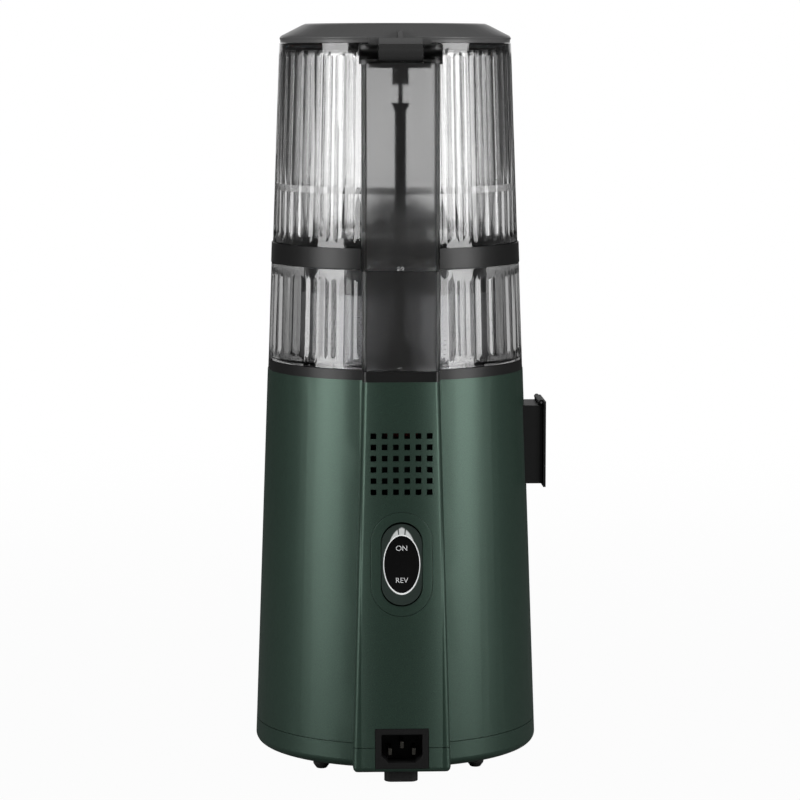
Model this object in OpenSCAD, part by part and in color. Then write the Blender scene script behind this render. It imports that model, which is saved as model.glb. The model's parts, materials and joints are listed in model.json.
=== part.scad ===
// Cold press juicer: a free-standing slow juicer with a large hopper.
// A motor and a planetary gearbox in the base turn an auger in a strainer; the bowl, the hopper
// and the hinged lid stack on top. A sprung pin stack in the rear spine stops the motor when the
// lid is open.
// Millimetres, +Z up. The origin is on the auger's axis, on the table. The flat rear spine faces
// -Y, the juice spout +Y and the pulp outlet +X.

/* [Tower heights] */
// Height of the rubber feet under the base
foot_h = 8; // [5:0.5:12]
// Height of the lower tray
tray_h = 14.8; // [13:0.2:20]
// Height of the main housing
housing_h = 216.2; // [212:0.2:240]
// Height of the collar between the housing and the bowl
collar_h = 6; // [4:0.5:10]
// Height of the bowl above the collar
bowl_h = 58.2; // [50:0.2:75]
// Height of the hopper, from the bowl to its rim
hopper_h = 132.1; // [110:0.1:160]
// Height of the lid above the hopper's rim
lid_h = 11.7; // [9:0.1:16]
// Gap between stacked modules
stack_gap = 0.4; // [0.3:0.1:0.8]

/* [Tower outline] */
// Radius of the body at the seam above the tray
foot_r = 85.9; // [84:0.1:92]
// Radius of the body at the top of the housing
shoulder_r = 78.1; // [77:0.1:83]
// Rounding of the tray's lower edge
tray_round = 5; // [3:0.5:8]
// How far the hopper's skin sits inside the line of the body
hopper_inset = 0.8; // [0.4:0.1:1.4]
// Width of the rear spine at its foot
spine_w = 58; // [52:0.5:64]
// Width of the rear spine from the collar up
spine_top_w = 45.6; // [44:0.2:50]
// Distance of the spine's face from the axis, at its foot
spine_y = 96; // [93:0.5:100]
// Distance of the spine's face from the axis, at the hopper's rim
spine_top_y = 79.5; // [79:0.1:82]
// Rounding of the spine's long edges
spine_round = 3; // [2:0.5:4]

/* [Walls] */
// Wall of the housing and the tray
wall = 2.6; // [2:0.1:3]
// Floor of the tray
floor_t = 2.5; // [2:0.1:3.5]
// Wall of the clear bowl and hopper
clear_wall = 2.4; // [1.8:0.1:2.8]
// Wall of the well that takes the bowl
well_wall = 2; // [1.6:0.1:2.4]
// Clearance between parts that are fitted into each other
fit = 0.2; // [0.1:0.05:0.3]
// Radial clearance of a shaft or pin in its bore
running = 0.05; // [0.02:0.01:0.09]

/* [Bowl, strainer and auger] */
// Outer radius of the bowl's lower cup
cup_r = 66; // [64:0.5:67]
// Depth of the well below the collar's top
well_depth = 90; // [85:0.5:94]
// Outer radius of the strainer's rings
strainer_r = 56; // [54:0.5:58]
// Thickness of the strainer's perforated sleeve
sleeve_t = 0.8; // [0.6:0.1:1.2]
// Radial gap between the auger's flights and the strainer
auger_gap = 0.8; // [0.5:0.1:1.5]
// How far the auger's tip stands above the bowl's rim
auger_rise = 42; // [30:1:46]
// Turns of the auger's flights
auger_turns = 1.1; // [0.6:0.1:1.6]
// Radius of the hopper's throat
throat_r = 50; // [48:0.5:51]
// Height of the hopper's throat
throat_h = 22; // [16:1:30]
// Height of the sloping funnel above the throat
funnel_h = 26; // [18:1:34]
// Height of the band at the foot of the hopper
band_h = 12.4; // [8:0.2:16]
// Thickness of that band
band_t = 2; // [1.4:0.1:2.4]

/* [Drive] */
// Radius of the motor's can
motor_r = 36; // [32:0.5:40]
// Length of the motor's can
motor_len = 62; // [56:1:70]
// Height of the cradle under the motor
cradle_h = 22; // [18:0.5:24]
// Gear module
gear_m = 1; // [0.9:0.05:1.05]
// Width of the gears
gear_w = 12; // [9:0.5:13]
// Teeth of the sun gear
sun_teeth = 12; // [12]
// Teeth of each planet gear
planet_teeth = 30; // [30]
// Radius of the motor's shaft
shaft_r = 4; // [3:0.1:4]
// Radius of the output shaft
output_r = 8; // [7.5:0.1:9]
// Width across the flats of the drive hexagon
hex_af = 14; // [12:0.5:15]
// Length of the drive hexagon
hex_l = 26; // [20:1:28]

/* [Controls] */
// Height of the rocker switch's centre above the table
rocker_z = 131.9; // [126:0.1:136]
// Width of the rocker's oval opening
rocker_w = 24.4; // [22:0.2:26]
// Height of the rocker's oval opening
rocker_h = 49.8; // [46:0.2:52]
// Width of the trim ring around the rocker
trim_border = 6; // [4:0.2:7]
// Thickness of the trim ring
trim_t = 1.6; // [1.2:0.1:1.8]
// Depth of the rocker's pivot behind the spine's face
rocker_pivot = 6; // [5.5:0.1:7]
// Height of the lowest row of vent holes
vent_z = 174.5; // [172:0.5:186]
// Pitch of the vent holes
vent_pitch = 6.6; // [6:0.1:7]
// Side of one vent hole
vent_side = 3.4; // [2:0.1:4]
// Vent holes in each row and column
vent_count = 6; // [3:1:6]
// Width of the mains inlet
inlet_w = 31.5; // [31:0.1:34]
// Height of the mains inlet
inlet_h = 23.7; // [23:0.1:26]
// Height of the mains inlet's centre above the table
inlet_z = 22.4; // [21:0.1:26]

/* [Outlets] */
// Height of the pulp outlet's centre above the well's floor
outlet_z = 37.8; // [35:0.2:45]
// Height of the pulp outlet's duct
outlet_h = 48; // [40:0.5:50]
// Width of the pulp outlet's duct
outlet_w = 34; // [26:0.5:36]
// Distance of the outlet door's face from the axis
outlet_x = 91.2; // [89:0.1:96]
// Thickness of the outlet door
door_t = 1.5; // [1.2:0.1:2]
// Height of the juice spout's axis above the well's floor
spout_z = 21; // [19:0.5:27]
// Outer radius of the juice spout
spout_r = 11; // [9:0.5:12]
// Distance of the juice spout's mouth from the axis
spout_y = 104; // [100:0.5:110]

/* [Lid, hinge and interlock] */
// Radius of the lid's flat top
lid_top_r = 54.5; // [46:0.5:58]
// Width of the hinge over its knuckles
hinge_w = 48.5; // [46:0.5:50]
// Width of the lid's middle knuckle
knuckle_w = 25.6; // [20:0.2:28]
// Radius of the hinge knuckles
knuckle_r = 5.35; // [4.5:0.05:5.4]
// Distance of the hinge pin behind the axis
hinge_y = 76; // [75:0.1:77]
// Radius of the hinge pin
hinge_pin_r = 1.5; // [1:0.1:2]
// Distance of the interlock pins behind the axis
interlock_y = 72.5; // [72:0.1:73]
// Radius of the interlock pins
pin_r = 1.3; // [1:0.1:1.6]
// Outer radius of the tube around the hopper's interlock pin
tube_r = 3.3; // [2.8:0.1:3.6]
// Height of the boss on the lid that presses the interlock pin
boss_h = 9.9; // [8:0.1:12]

/* [Hidden] */
$fn = 128;
// Overlap that joins shapes of one piece, and reach of a cut past a face
eps = 0.5;
sliver = 0.01;
// A radius outside the whole body, for cuts that run out through its skin
beyond_r = foot_r + shoulder_r;

tray_z = foot_h;
seam_z = tray_z + tray_h;
collar_z = seam_z + housing_h;
collar_top = collar_z + collar_h;
bowl_z = collar_top + stack_gap;
bowl_top = bowl_z + bowl_h;
hopper_z = bowl_top + stack_gap;
rim_z = hopper_z + hopper_h;
lid_top = rim_z + lid_h;
floor_z = tray_z + floor_t;

// The round skin is one cone from the tray to the rim, and the spine's face one raked plane
lean = (foot_r - shoulder_r) / housing_h;
rake = (spine_y - spine_top_y) / (rim_z - tray_z);
rake_deg = atan(rake);
pinch = (spine_w - spine_top_w) / 2 / (collar_z - tray_z);
function skin_r(z) = foot_r - lean * (z - seam_z);
function back_y(z) = spine_y - rake * (z - tray_z);
function spine_half(z) = spine_top_w / 2 + pinch * max(0, collar_z - z);

seam_gap = 0.4;
lip_t = 1.6;
lip_h = 4;
post_r = 5;
post_ring = foot_r - wall - lip_t - post_r - 2;
post_h = 40;
post_angles = [20, 160, 207, 333];
screw_r = 2;
small_screw_r = 1.5;
screw_pocket = 4;
foot_ring = 66;
foot_r1 = 5.35;
foot_taper = 0.35;
foot_stem_r = 2.5;
foot_angles = [45, -45, 80, -80, 135, -135];
rear_foot_w = 20;
rear_foot_r = 4.5;
rear_foot_in = 15;
air_hole_r = 2.2;
air_hole_pitch = 9;

well_gap = 0.3;
well_r = cup_r + 0.8;
well_floor_z = collar_top - well_depth;
well_floor_t = 2.5;
ledge_t = 3;
ledge_z = collar_z - 6;
well_screw_ring = well_r + well_wall + 3.5;
well_screw_angles = [20, 70, 110, 160, 215, 325];
cup_floor_z = well_floor_z + well_floor_t + 1.5;
cup_floor_t = 3;
hub_r = 12;
seal_r = hub_r + 8;
shaft_seal_r = hub_r + 3;
// The collar and the bowl sit this far inside the line of the body
bowl_inset = 0.3;

motor_z = floor_z + cradle_h;
motor_top = motor_z + motor_len;
can_wall = 1.6;
can_head = 6;
cradle_wall = 3;
bearing_h = 5;
bearing_r = shaft_r + 5;
magnet_t = 6;
magnet_foot = 10;
magnet_head = 16;
core_gap = 1;
core_inset = 4;
end_turns = 7;
motor_screw_ring = motor_r - 10;
motor_screw_angles = [45, 135, 225, 315];

ring_teeth = sun_teeth + 2 * planet_teeth;
carrier_ring = (sun_teeth + planet_teeth) * gear_m / 2;
ring_back = 4;
ring_r = ring_teeth * gear_m / 2 + ring_back;
pressure_deg = 25;
flank_play = 0.05;
case_wall = 3;
case_r = ring_r + case_wall;
gear_gap = 1;
gear_z = motor_top + case_wall + 1.5 * gear_gap;
carrier_z = gear_z + gear_w + gear_gap;
carrier_t = 5;
carrier_r = carrier_ring + 6;
planet_pin_r = 2.5;
case_top = carrier_z + carrier_t + gear_gap;
cover_t = 4;
cover_top = case_top + cover_t;
cover_ear_r = 5.5;
cover_ear_ring = case_r + 7;
cover_ear_angles = [45, 135, 225, 315];
case_boss_r = 3.6;
case_screw_ring = case_r - case_wall / 2 + 2.5;
case_screw_angles = [0, 90, 180, 270];
output_bearing_h = 6;
output_bearing_r = output_r + 6;
hex_z = well_floor_z + well_floor_t + 1;

// The board fills the room between the tray's lip and the motor
board_t = 1.6;
board_half = 20;
board_gap = 2.9;
board_motor_gap = 4;
board_post_r = 3;
board_post_h = 6;
board_post_in = 4;
board_x0 = -sqrt(pow(foot_r - wall - fit - lip_t - board_gap, 2) - pow(board_half, 2));
board_x1 = -motor_r - board_motor_gap;

trim_w = rocker_w + 2 * trim_border;
trim_h = rocker_h + 2 * trim_border;
button_gap = 0.3;
button_w = rocker_w - 2 * button_gap;
button_h = rocker_h - 4 * button_gap - 0.8;
button_proud = 1.5;
button_back = 5;
dish_r = 190;
dish_depth = 0.2;
trunnion_r = 1.5;
trunnion_l = 2;
inlay_half_w = 10.4;
inlay_half_h = 17;
inlay_floor = 1.3;
inlay_t = 0.9;
inlay_gap = 0.05;
box_wall = 3.2;
recess_depth = 15;
switch_depth = recess_depth + 3;
// Blade terminals of the switch: width, thickness, length and pitch
blade_w = 4.8;
blade_t = 0.8;
blade_l = 9;
blade_pitch = 14;
// Places of the inlet's three pins, across and up the spine's face
pin_places = [[-7, -1.9], [0, 2.1], [7, -1.9]];
inlet_flange = 2.4;
inlet_body = 20;
inlet_recess = 16;
inlet_half_w = 12.2;
inlet_half_h = 8.4;
inlet_corner = 4;
inlet_pin_w = 2;
inlet_pin_h = 4;

duct_wall = 3.3;
duct_gap = 0.4;
duct_x0 = well_r + duct_gap;
outlet_mid = well_floor_z + outlet_z;
door_x0 = outlet_x - door_t;
door_gap = 0.3;
door_over = 2.6;
door_under = 2;
door_side = 2;
door_pin_r = 0.7;
door_barrel_r = 1.6;
door_pin_x = door_x0 - door_barrel_r + 0.4;
door_pin_z = outlet_mid + outlet_h / 2 + door_barrel_r + door_gap;
// The duct's two knuckles stand at this place on each side, between the door's three
duct_knuckle_y = 11;
duct_knuckle_w = 4.8;
pulp_half_w = outlet_w / 2 - duct_wall - 0.7;
pulp_h = 28;
spout_mid = well_floor_z + spout_z;
spout_wall = 2.4;
spout_y0 = well_r + duct_gap;
spout_flange = 3;
cap_pin_r = 1;
cap_pin_y = spout_y - 6;
cap_pin_z = spout_mid + spout_r + 2.6;
cap_gap = 0.3;
cap_t = 3.2;
cap_knuckle_w = 8;
cap_knuckle_r = 2.4;
spout_knuckle_w = 14;
spout_knuckle_r = 3;

strainer_floor_z = cup_floor_z + cup_floor_t + 3;
strainer_floor_t = 3;
sleeve_r = strainer_r - 2;
strainer_top = hopper_z - 1;
auger_r = sleeve_r - sleeve_t - auger_gap;
auger_z = strainer_floor_z + 4;
auger_top = bowl_top + auger_rise;
throat_top = hopper_z + throat_h;
funnel_top = throat_top + funnel_h;
band_top = hopper_z + band_h;

hinge_z = rim_z - 0.6 - knuckle_r;
plug_z = hinge_z - 8.55;
boss_r = 4.75;
boss_z = plug_z - boss_h;
boss_slope = 15;
hinge_gap = 0.35;
// Reach of the lid's hinge arm in front of the pin, and gap under the knuckles
hinge_arm = 12;
notch_gap = 0.4;
pin_joint = 0.1;
cup_top = boss_z - 10.4;
tube_cup_h = 4.6;
tube_cup_r = 5.5;
tube_block_w = 15;
tube_block_h = 13;

// The lid's skirt hangs inside the hopper's wall; its seal stops short of the hinge on each
// side, where the wall is too near for its swing
lid_r = skin_r(rim_z) - hopper_inset - 0.2;
lid_z = rim_z + 0.3;
lid_shell = 2.4;
lid_edge_z = lid_top - 0.62 * lid_h;
skirt_t = 1.8;
skirt_r = lid_r - clear_wall - 1.2;
skirt_drop = 4;
lid_seal_t = 0.8;
lid_seal_open = 76;

plunger_h = 20;
plunger_flange_r = 2.6;
spring_h = 7;
microswitch_w = 20;
microswitch_h = 12;
microswitch_back = 4;
bracket_w = 26;
bracket_back = 5.5;
bracket_t = 2;

// ---------------------------------------------------------------------------- shared shapes

// The round body between two heights, shrunk all round by an inset
module cone(z0, z1, inset = 0) {
    translate([0, 0, z0])
        cylinder(h = z1 - z0, r1 = skin_r(z0) - inset, r2 = skin_r(z1) - inset);
}

// One thin slice of the spine, with rounded rear corners
module spine_slice(z, inset) {
    half = spine_half(z) - inset;
    back = back_y(z) - inset;
    r = max(0.5, spine_round - inset);
    translate([0, 0, z])
        linear_extrude(height = sliver) {
            translate([-half, r - back]) square([2 * half, back - r]);
            for (side = [-1, 1]) translate([side * (half - r), r - back]) circle(r, $fn = 32);
        }
}

// The spine between two heights on one side of the collar, shrunk by an inset
module spine(z0, z1, inset = 0) {
    hull() {
        spine_slice(z0, inset);
        spine_slice(z1 - sliver, inset);
    }
}

module tower(z0, z1, inset = 0) {
    cone(z0, z1, inset);
    spine(z0, z1, inset);
}

// Places children on the spine's raked face: X across, Y up the face, Z out of it
module on_spine(z) {
    translate([0, -back_y(z), z]) rotate([90 - rake_deg, 0, 0]) children();
}

module ring(z0, z1, r_in, r_out) {
    difference() {
        translate([0, 0, z0]) cylinder(h = z1 - z0, r = r_out);
        translate([0, 0, z0 - eps]) cylinder(h = z1 - z0 + 2 * eps, r = r_in);
    }
}

module at_ring(angles, radius) {
    for (a = angles) rotate([0, 0, a]) translate([radius, 0, 0]) children();
}

// A box across X, given by its width and its Y and Z limits
module slab(w, y0, y1, z0, z1) {
    translate([-w / 2, y0, z0]) cube([w, y1 - y0, z1 - z0]);
}

// An upright oval with straight sides
module oval(w, h) {
    square([w, h - w], center = true);
    for (side = [-1, 1]) translate([0, side * (h - w) / 2]) circle(d = w);
}

// A cylinder along X, centred on the mid-plane
module x_rod(y, z, r, l) {
    translate([-l / 2, y, z]) rotate([0, 90, 0]) cylinder(h = l, r = r, $fn = 64);
}

// A pan-head screw with a cross recess, its head's underside at the origin, pointing up
module screw(r, l) {
    head_r = 1.8 * r;
    head_h = 1.3 * r;
    difference() {
        union() {
            cylinder(h = l, r = r, $fn = 32);
            translate([0, 0, -head_h]) cylinder(h = head_h, r1 = 0.75 * head_r, r2 = head_r, $fn = 48);
        }
        for (a = [0, 90]) rotate([0, 0, a])
            translate([-0.5 * head_r, -0.14 * head_r, -head_h - eps])
                cube([head_r, 0.28 * head_r, eps + 0.6 * head_h]);
    }
}

// ---------------------------------------------------------------------------- gears

function involute(a) = tan(a) * 180 / PI - a;

// Half of a tooth's angle at a radius, thinned on each flank by play
function half_tooth(teeth, r, play) =
    let (pitch_r = teeth * gear_m / 2, base_r = pitch_r * cos(pressure_deg))
    90 / teeth - play / pitch_r * 180 / PI + involute(pressure_deg)
        - involute(acos(min(1, base_r / max(r, base_r))));

function gear_outline(teeth, root_r, tip_r, play) = [
    for (i = [0:teeth - 1], side = [-1, 1], k = [0:3])
        let (
            step = side < 0 ? k : 3 - k,
            r = root_r + (tip_r - root_r) * step / 3,
            a = i * 360 / teeth + side * half_tooth(teeth, r, play)
        ) r * [cos(a), sin(a)]
];

module gear(teeth) {
    pitch_r = teeth * gear_m / 2;
    linear_extrude(height = gear_w)
        polygon(gear_outline(teeth, pitch_r - 1.25 * gear_m, pitch_r + 0.95 * gear_m, flank_play));
}

module planet_gear(i) {
    color("gainsboro")
        rotate([0, 0, i * 120]) translate([carrier_ring, 0, gear_z])
            difference() {
                rotate([0, 0, 180 / planet_teeth]) gear(planet_teeth);
                translate([0, 0, -eps])
                    cylinder(h = gear_w + 2 * eps, r = planet_pin_r + running, $fn = 64);
                for (a = [0:60:300]) rotate([0, 0, a]) translate([8.4 * gear_m, 0, -eps])
                    cylinder(h = gear_w + 2 * eps, r = 2.6 * gear_m, $fn = 32);
            }
}

module sun_gear() {
    color("silver") difference() {
        translate([0, 0, gear_z]) gear(sun_teeth);
        translate([0, 0, gear_z - eps]) cylinder(h = gear_w + 2 * eps, r = shaft_r - 1, $fn = 64);
    }
}

module ring_gear() {
    pitch_r = ring_teeth * gear_m / 2;
    color("dimgray") difference() {
        translate([0, 0, gear_z - 0.5]) cylinder(h = gear_w + 1, r = ring_r);
        translate([0, 0, gear_z - 1]) rotate([0, 0, 180 / ring_teeth])
            linear_extrude(height = gear_w + 2)
                polygon(gear_outline(ring_teeth, pitch_r - 0.95 * gear_m,
                                     pitch_r + 1.25 * gear_m, -flank_play));
    }
}

// ---------------------------------------------------------------------------- base

module tray_skin() {
    round_z = tray_z + tray_round;
    r = skin_r(round_z);
    cone(round_z, seam_z);
    translate([0, 0, tray_z]) cylinder(h = tray_round + sliver, r = r - tray_round);
    rotate_extrude() translate([r - tray_round, round_z]) circle(tray_round, $fn = 64);
    hull() for (a = [0, 30, 60, 90])
        spine_slice(tray_z + spine_round * (1 - cos(a)), spine_round * (1 - sin(a)));
    spine(tray_z + spine_round, seam_z);
}

module base_tray() {
    inner = wall + fit + lip_t;
    color("#23443a") difference() {
        union() {
            difference() {
                union() {
                    tray_skin();
                    tower(seam_z - eps, seam_z + lip_h, wall + fit);
                }
                tower(floor_z, seam_z + lip_h + eps, inner);
            }
            at_ring(post_angles, post_ring)
                translate([0, 0, floor_z - eps]) cylinder(h = lip_h + seam_z - floor_z, r = post_r);
            for (x = [board_x0 + board_post_in, board_x1 - board_post_in], side = [-1, 1])
                translate([x, side * (board_half - board_post_in), floor_z - eps])
                    cylinder(h = board_post_h + eps, r = board_post_r, $fn = 48);
        }
        at_ring(post_angles, post_ring) translate([0, 0, tray_z - eps]) {
            cylinder(h = tray_h + housing_h, r = screw_r + fit);
            cylinder(h = eps + screw_pocket, r = 2.4 * screw_r);
        }
        // round air inlets under the motor and the holes of the rubber feet
        for (k = [1:3]) at_ring([for (a = [0:60 / k:359]) a], air_hole_pitch * k)
            translate([0, 0, tray_z - eps]) cylinder(h = floor_t + 2 * eps, r = air_hole_r, $fn = 32);
        at_ring([for (a = foot_angles) a - 90], foot_ring)
            translate([0, 0, tray_z - eps])
                cylinder(h = floor_t + 2 * eps, r = foot_stem_r + fit / 2, $fn = 32);
        slab(inlet_w + 2 * fit, -spine_y - eps, 2 * wall - foot_r, inlet_z - inlet_h / 2 - fit, collar_z);
    }
}

module rubber_feet() {
    cone_h = 0.35 * foot_h;
    color("#151515") at_ring([for (a = foot_angles) a - 90], foot_ring) {
        cylinder(h = cone_h, r1 = foot_stem_r + eps, r2 = foot_r1 - foot_taper, $fn = 48);
        translate([0, 0, cone_h])
            cylinder(h = foot_h - cone_h, r1 = foot_r1 - foot_taper, r2 = foot_r1, $fn = 48);
        cylinder(h = foot_h + floor_t + 1, r = foot_stem_r, $fn = 48);
    }
}

module rear_foot() {
    straight = rear_foot_w - 2 * rear_foot_r;
    color("#151515") translate([0, rear_foot_in - spine_y, 0]) {
        translate([-straight / 2, -rear_foot_r, 0]) cube([straight, 2 * rear_foot_r, foot_h]);
        for (side = [-1, 1])
            translate([side * straight / 2, 0, 0]) cylinder(h = foot_h, r = rear_foot_r, $fn = 48);
    }
}

module tray_screws() {
    bite = 14;
    color("silver") at_ring(post_angles, post_ring)
        translate([0, 0, tray_z + screw_pocket - fit / 2])
            screw(screw_r, seam_z + lip_h + bite - tray_z);
}

module main_housing() {
    rib_t = 3;
    rib_l = skin_r(seam_z + post_h) - post_ring - wall / 2;
    color("#23443a") difference() {
        union() {
            difference() {
                tower(seam_z + seam_gap, collar_z);
                tower(seam_z - eps, collar_z + eps, wall);
            }
            at_ring(post_angles, post_ring) translate([0, 0, seam_z + lip_h]) {
                cylinder(h = post_h, r = post_r);
                translate([0, -rib_t / 2, seam_gap]) cube([rib_l, rib_t, post_h - seam_gap]);
            }
            difference() {
                cone(ledge_z, ledge_z + ledge_t, wall / 2);
                translate([0, 0, ledge_z - eps]) cylinder(h = ledge_t + 2 * eps, r = well_r + well_wall + fit);
                slab(spine_top_w - 2 * wall, -spine_y, 0, ledge_z - eps, collar_z);
            }
        }
        at_ring(post_angles, post_ring)
            translate([0, 0, seam_z]) cylinder(h = lip_h + post_h - 10, r = screw_r + running);
        screw_holes(well_screw_angles, well_screw_ring, ledge_z - eps, ledge_t + 2 * eps, running);
        // vent grille
        for (col = [0:vent_count - 1], row = [0:vent_count - 1])
            on_spine(vent_z + row * vent_pitch)
                translate([(col - (vent_count - 1) / 2) * vent_pitch, 0, 0])
                    cube([vent_side, vent_side, 4 * wall], center = true);
        // rocker switch
        on_spine(rocker_z) {
            translate([0, 0, -trim_t]) linear_extrude(height = trim_t + 1) oval(trim_w + fit, trim_h + fit);
            translate([0, 0, -2 * wall]) linear_extrude(height = 3 * wall) oval(rocker_w, rocker_h);
        }
        slab(inlet_w + 2 * fit, -spine_y - eps, 3 * wall - foot_r, seam_z - eps, inlet_z + inlet_h / 2 + fit);
        outlet_cuts();
    }
}

// The ways of the pulp outlet and the juice spout, through the housing and the well
module outlet_cuts() {
    translate([0, -outlet_w / 2 - fit, outlet_mid - outlet_h / 2 - fit])
        cube([beyond_r, outlet_w + 2 * fit, outlet_h + 2 * fit]);
    translate([0, 0, spout_mid]) rotate([-90, 0, 0]) cylinder(h = beyond_r, r = spout_r + fit);
}

// ---------------------------------------------------------------------------- drive

module motor_cradle() {
    rim_t = 2.5;
    rim_h = 5;
    shelf = 6;
    window_w = 10;
    color("#2b2b2b") difference() {
        union() {
            ring(floor_z, motor_z, motor_r - cradle_wall - 1, motor_r - 1);
            ring(motor_z - cradle_wall, motor_z, motor_r - cradle_wall - shelf, motor_r + rim_t);
            ring(motor_z - eps, motor_z + rim_h, motor_r + fit, motor_r + rim_t);
            ring(floor_z, floor_z + cradle_wall, motor_r - cradle_wall - 1, board_motor_gap + motor_r);
        }
        for (a = [0:45:315]) rotate([0, 0, a])
            translate([0, -window_w / 2, floor_z + cradle_wall + 1])
                cube([motor_r, window_w, cradle_h - 2 * cradle_wall - 4]);
    }
}

module motor_can() {
    air_r = 4;
    color("#8f9398") difference() {
        translate([0, 0, motor_z]) cylinder(h = motor_len, r = motor_r);
        translate([0, 0, motor_z + can_wall])
            cylinder(h = motor_len - 2 * can_wall - can_head, r = motor_r - can_wall);
        translate([0, 0, motor_z - eps]) cylinder(h = motor_len + 2 * eps, r = shaft_r + 1);
        // seats of the two bearings, open towards the ends of the can
        translate([0, 0, motor_z - eps]) cylinder(h = bearing_h / 2 + eps, r = bearing_r);
        translate([0, 0, motor_top - bearing_h]) cylinder(h = bearing_h + eps, r = bearing_r);
        at_ring([0:60:300], motor_screw_ring)
            translate([0, 0, motor_z - eps]) cylinder(h = can_wall + 2 * eps, r = air_r, $fn = 32);
        at_ring(motor_screw_angles, motor_screw_ring)
            translate([0, 0, motor_top - can_head])
                cylinder(h = can_head + eps, r = small_screw_r + running, $fn = 48);
    }
}

module field_magnets() {
    outer = motor_r - can_wall;
    split_w = 10;
    color("#4a4a4d") difference() {
        ring(motor_z + magnet_foot, motor_top - magnet_head, outer - magnet_t, outer);
        for (a = [0, 90]) rotate([0, 0, a]) slab(split_w, -motor_r, motor_r, motor_z, motor_top);
    }
}

module motor_bearings() {
    color("silver") {
        ring(motor_z - bearing_h / 2, motor_z + bearing_h / 2, shaft_r + running, bearing_r);
        ring(motor_top - bearing_h, motor_top, shaft_r + running, bearing_r);
    }
}

module rotor_shaft() {
    z0 = floor_z + cradle_wall;
    color("silver") {
        translate([0, 0, z0]) cylinder(h = motor_top - z0, r = shaft_r);
        translate([0, 0, motor_top - eps]) cylinder(h = gear_z + gear_w - motor_top + eps, r = shaft_r - 1);
    }
}

module rotor_core() {
    slots = 12;
    slot_w = 2;
    slot_depth = 4;
    core_r = motor_r - can_wall - magnet_t - core_gap;
    z0 = motor_z + magnet_foot + core_inset;
    z1 = motor_top - magnet_head - core_inset;
    color("#b46a3c") difference() {
        union() {
            ring(z0, z1, shaft_r, core_r);
            ring(z0 - end_turns, z1 + end_turns, shaft_r, core_r - slot_depth - 3);
        }
        at_ring([for (i = [0:slots - 1]) i * 360 / slots], core_r - slot_depth)
            translate([0, -slot_w / 2, z0 - eps]) cube([slot_depth + eps, slot_w, z1 - z0 + 2 * eps]);
    }
}

module cooling_fan() {
    blades = 9;
    blade_w = 1.2;
    blade_turn = 20;
    hub_t = 4;
    z0 = floor_z + cradle_wall + 2;
    h = cradle_h - 14;
    color("#dcdcdc") {
        ring(z0, z0 + h, shaft_r, shaft_r + hub_t);
        difference() {
            at_ring([for (i = [0:blades - 1]) i * 360 / blades], shaft_r + hub_t - 1)
                translate([0, 0, z0]) rotate([0, 0, blade_turn])
                    cube([motor_r - shaft_r - 3 * hub_t, blade_w, h]);
            translate([0, 0, z0 - eps]) cylinder(h = h + 2 * eps, r = shaft_r + 1);
        }
        ring(z0, z0 + blade_w, shaft_r, motor_r - 2 * hub_t);
    }
}

// Holes of one ring of small screws
module screw_holes(angles, radius, z0, h, clearance) {
    at_ring(angles, radius)
        translate([0, 0, z0]) cylinder(h = h, r = small_screw_r + clearance, $fn = 48);
}

module gearbox_case() {
    boss_l = 14;
    seat_w = 3;
    color("#3a3c3e") difference() {
        union() {
            translate([0, 0, motor_top]) cylinder(h = case_wall, r = case_r);
            ring(motor_top, case_top, ring_r, case_r);
            at_ring(case_screw_angles, case_screw_ring)
                translate([0, 0, case_top - boss_l]) cylinder(h = boss_l, r = case_boss_r, $fn = 48);
            // a seat under the ring gear
            ring(motor_top + case_wall - eps, gear_z - gear_gap / 2, ring_r - seat_w, ring_r + eps);
        }
        translate([0, 0, motor_top - eps]) cylinder(h = case_wall + 2 * eps, r = shaft_r + 3);
        screw_holes(motor_screw_angles, motor_screw_ring, motor_top - eps, case_wall + 2 * eps, fit);
        screw_holes(case_screw_angles, case_screw_ring, case_top - boss_l + 2, boss_l, running);
    }
}

module motor_screws() {
    head_h = 1.2;
    color("silver") at_ring(motor_screw_angles, motor_screw_ring)
        translate([0, 0, motor_top + case_wall]) mirror([0, 0, 1]) intersection() {
            screw(small_screw_r, case_wall + can_head - 1);
            translate([0, 0, -head_h]) cylinder(h = head_h + case_wall + can_head, r = 3 * small_screw_r);
        }
}

module output_shaft() {
    color("#c4c8cc") {
        translate([0, 0, carrier_z]) cylinder(h = carrier_t, r = carrier_r);
        at_ring([0, 120, 240], carrier_ring)
            translate([0, 0, gear_z - fit])
                cylinder(h = gear_w + 2 * gear_gap, r = planet_pin_r, $fn = 64);
        translate([0, 0, carrier_z]) cylinder(h = hex_z - carrier_z + eps, r = output_r);
        translate([0, 0, hex_z]) cylinder(h = hex_l, d = hex_af / cos(30), $fn = 6);
    }
}

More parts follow.
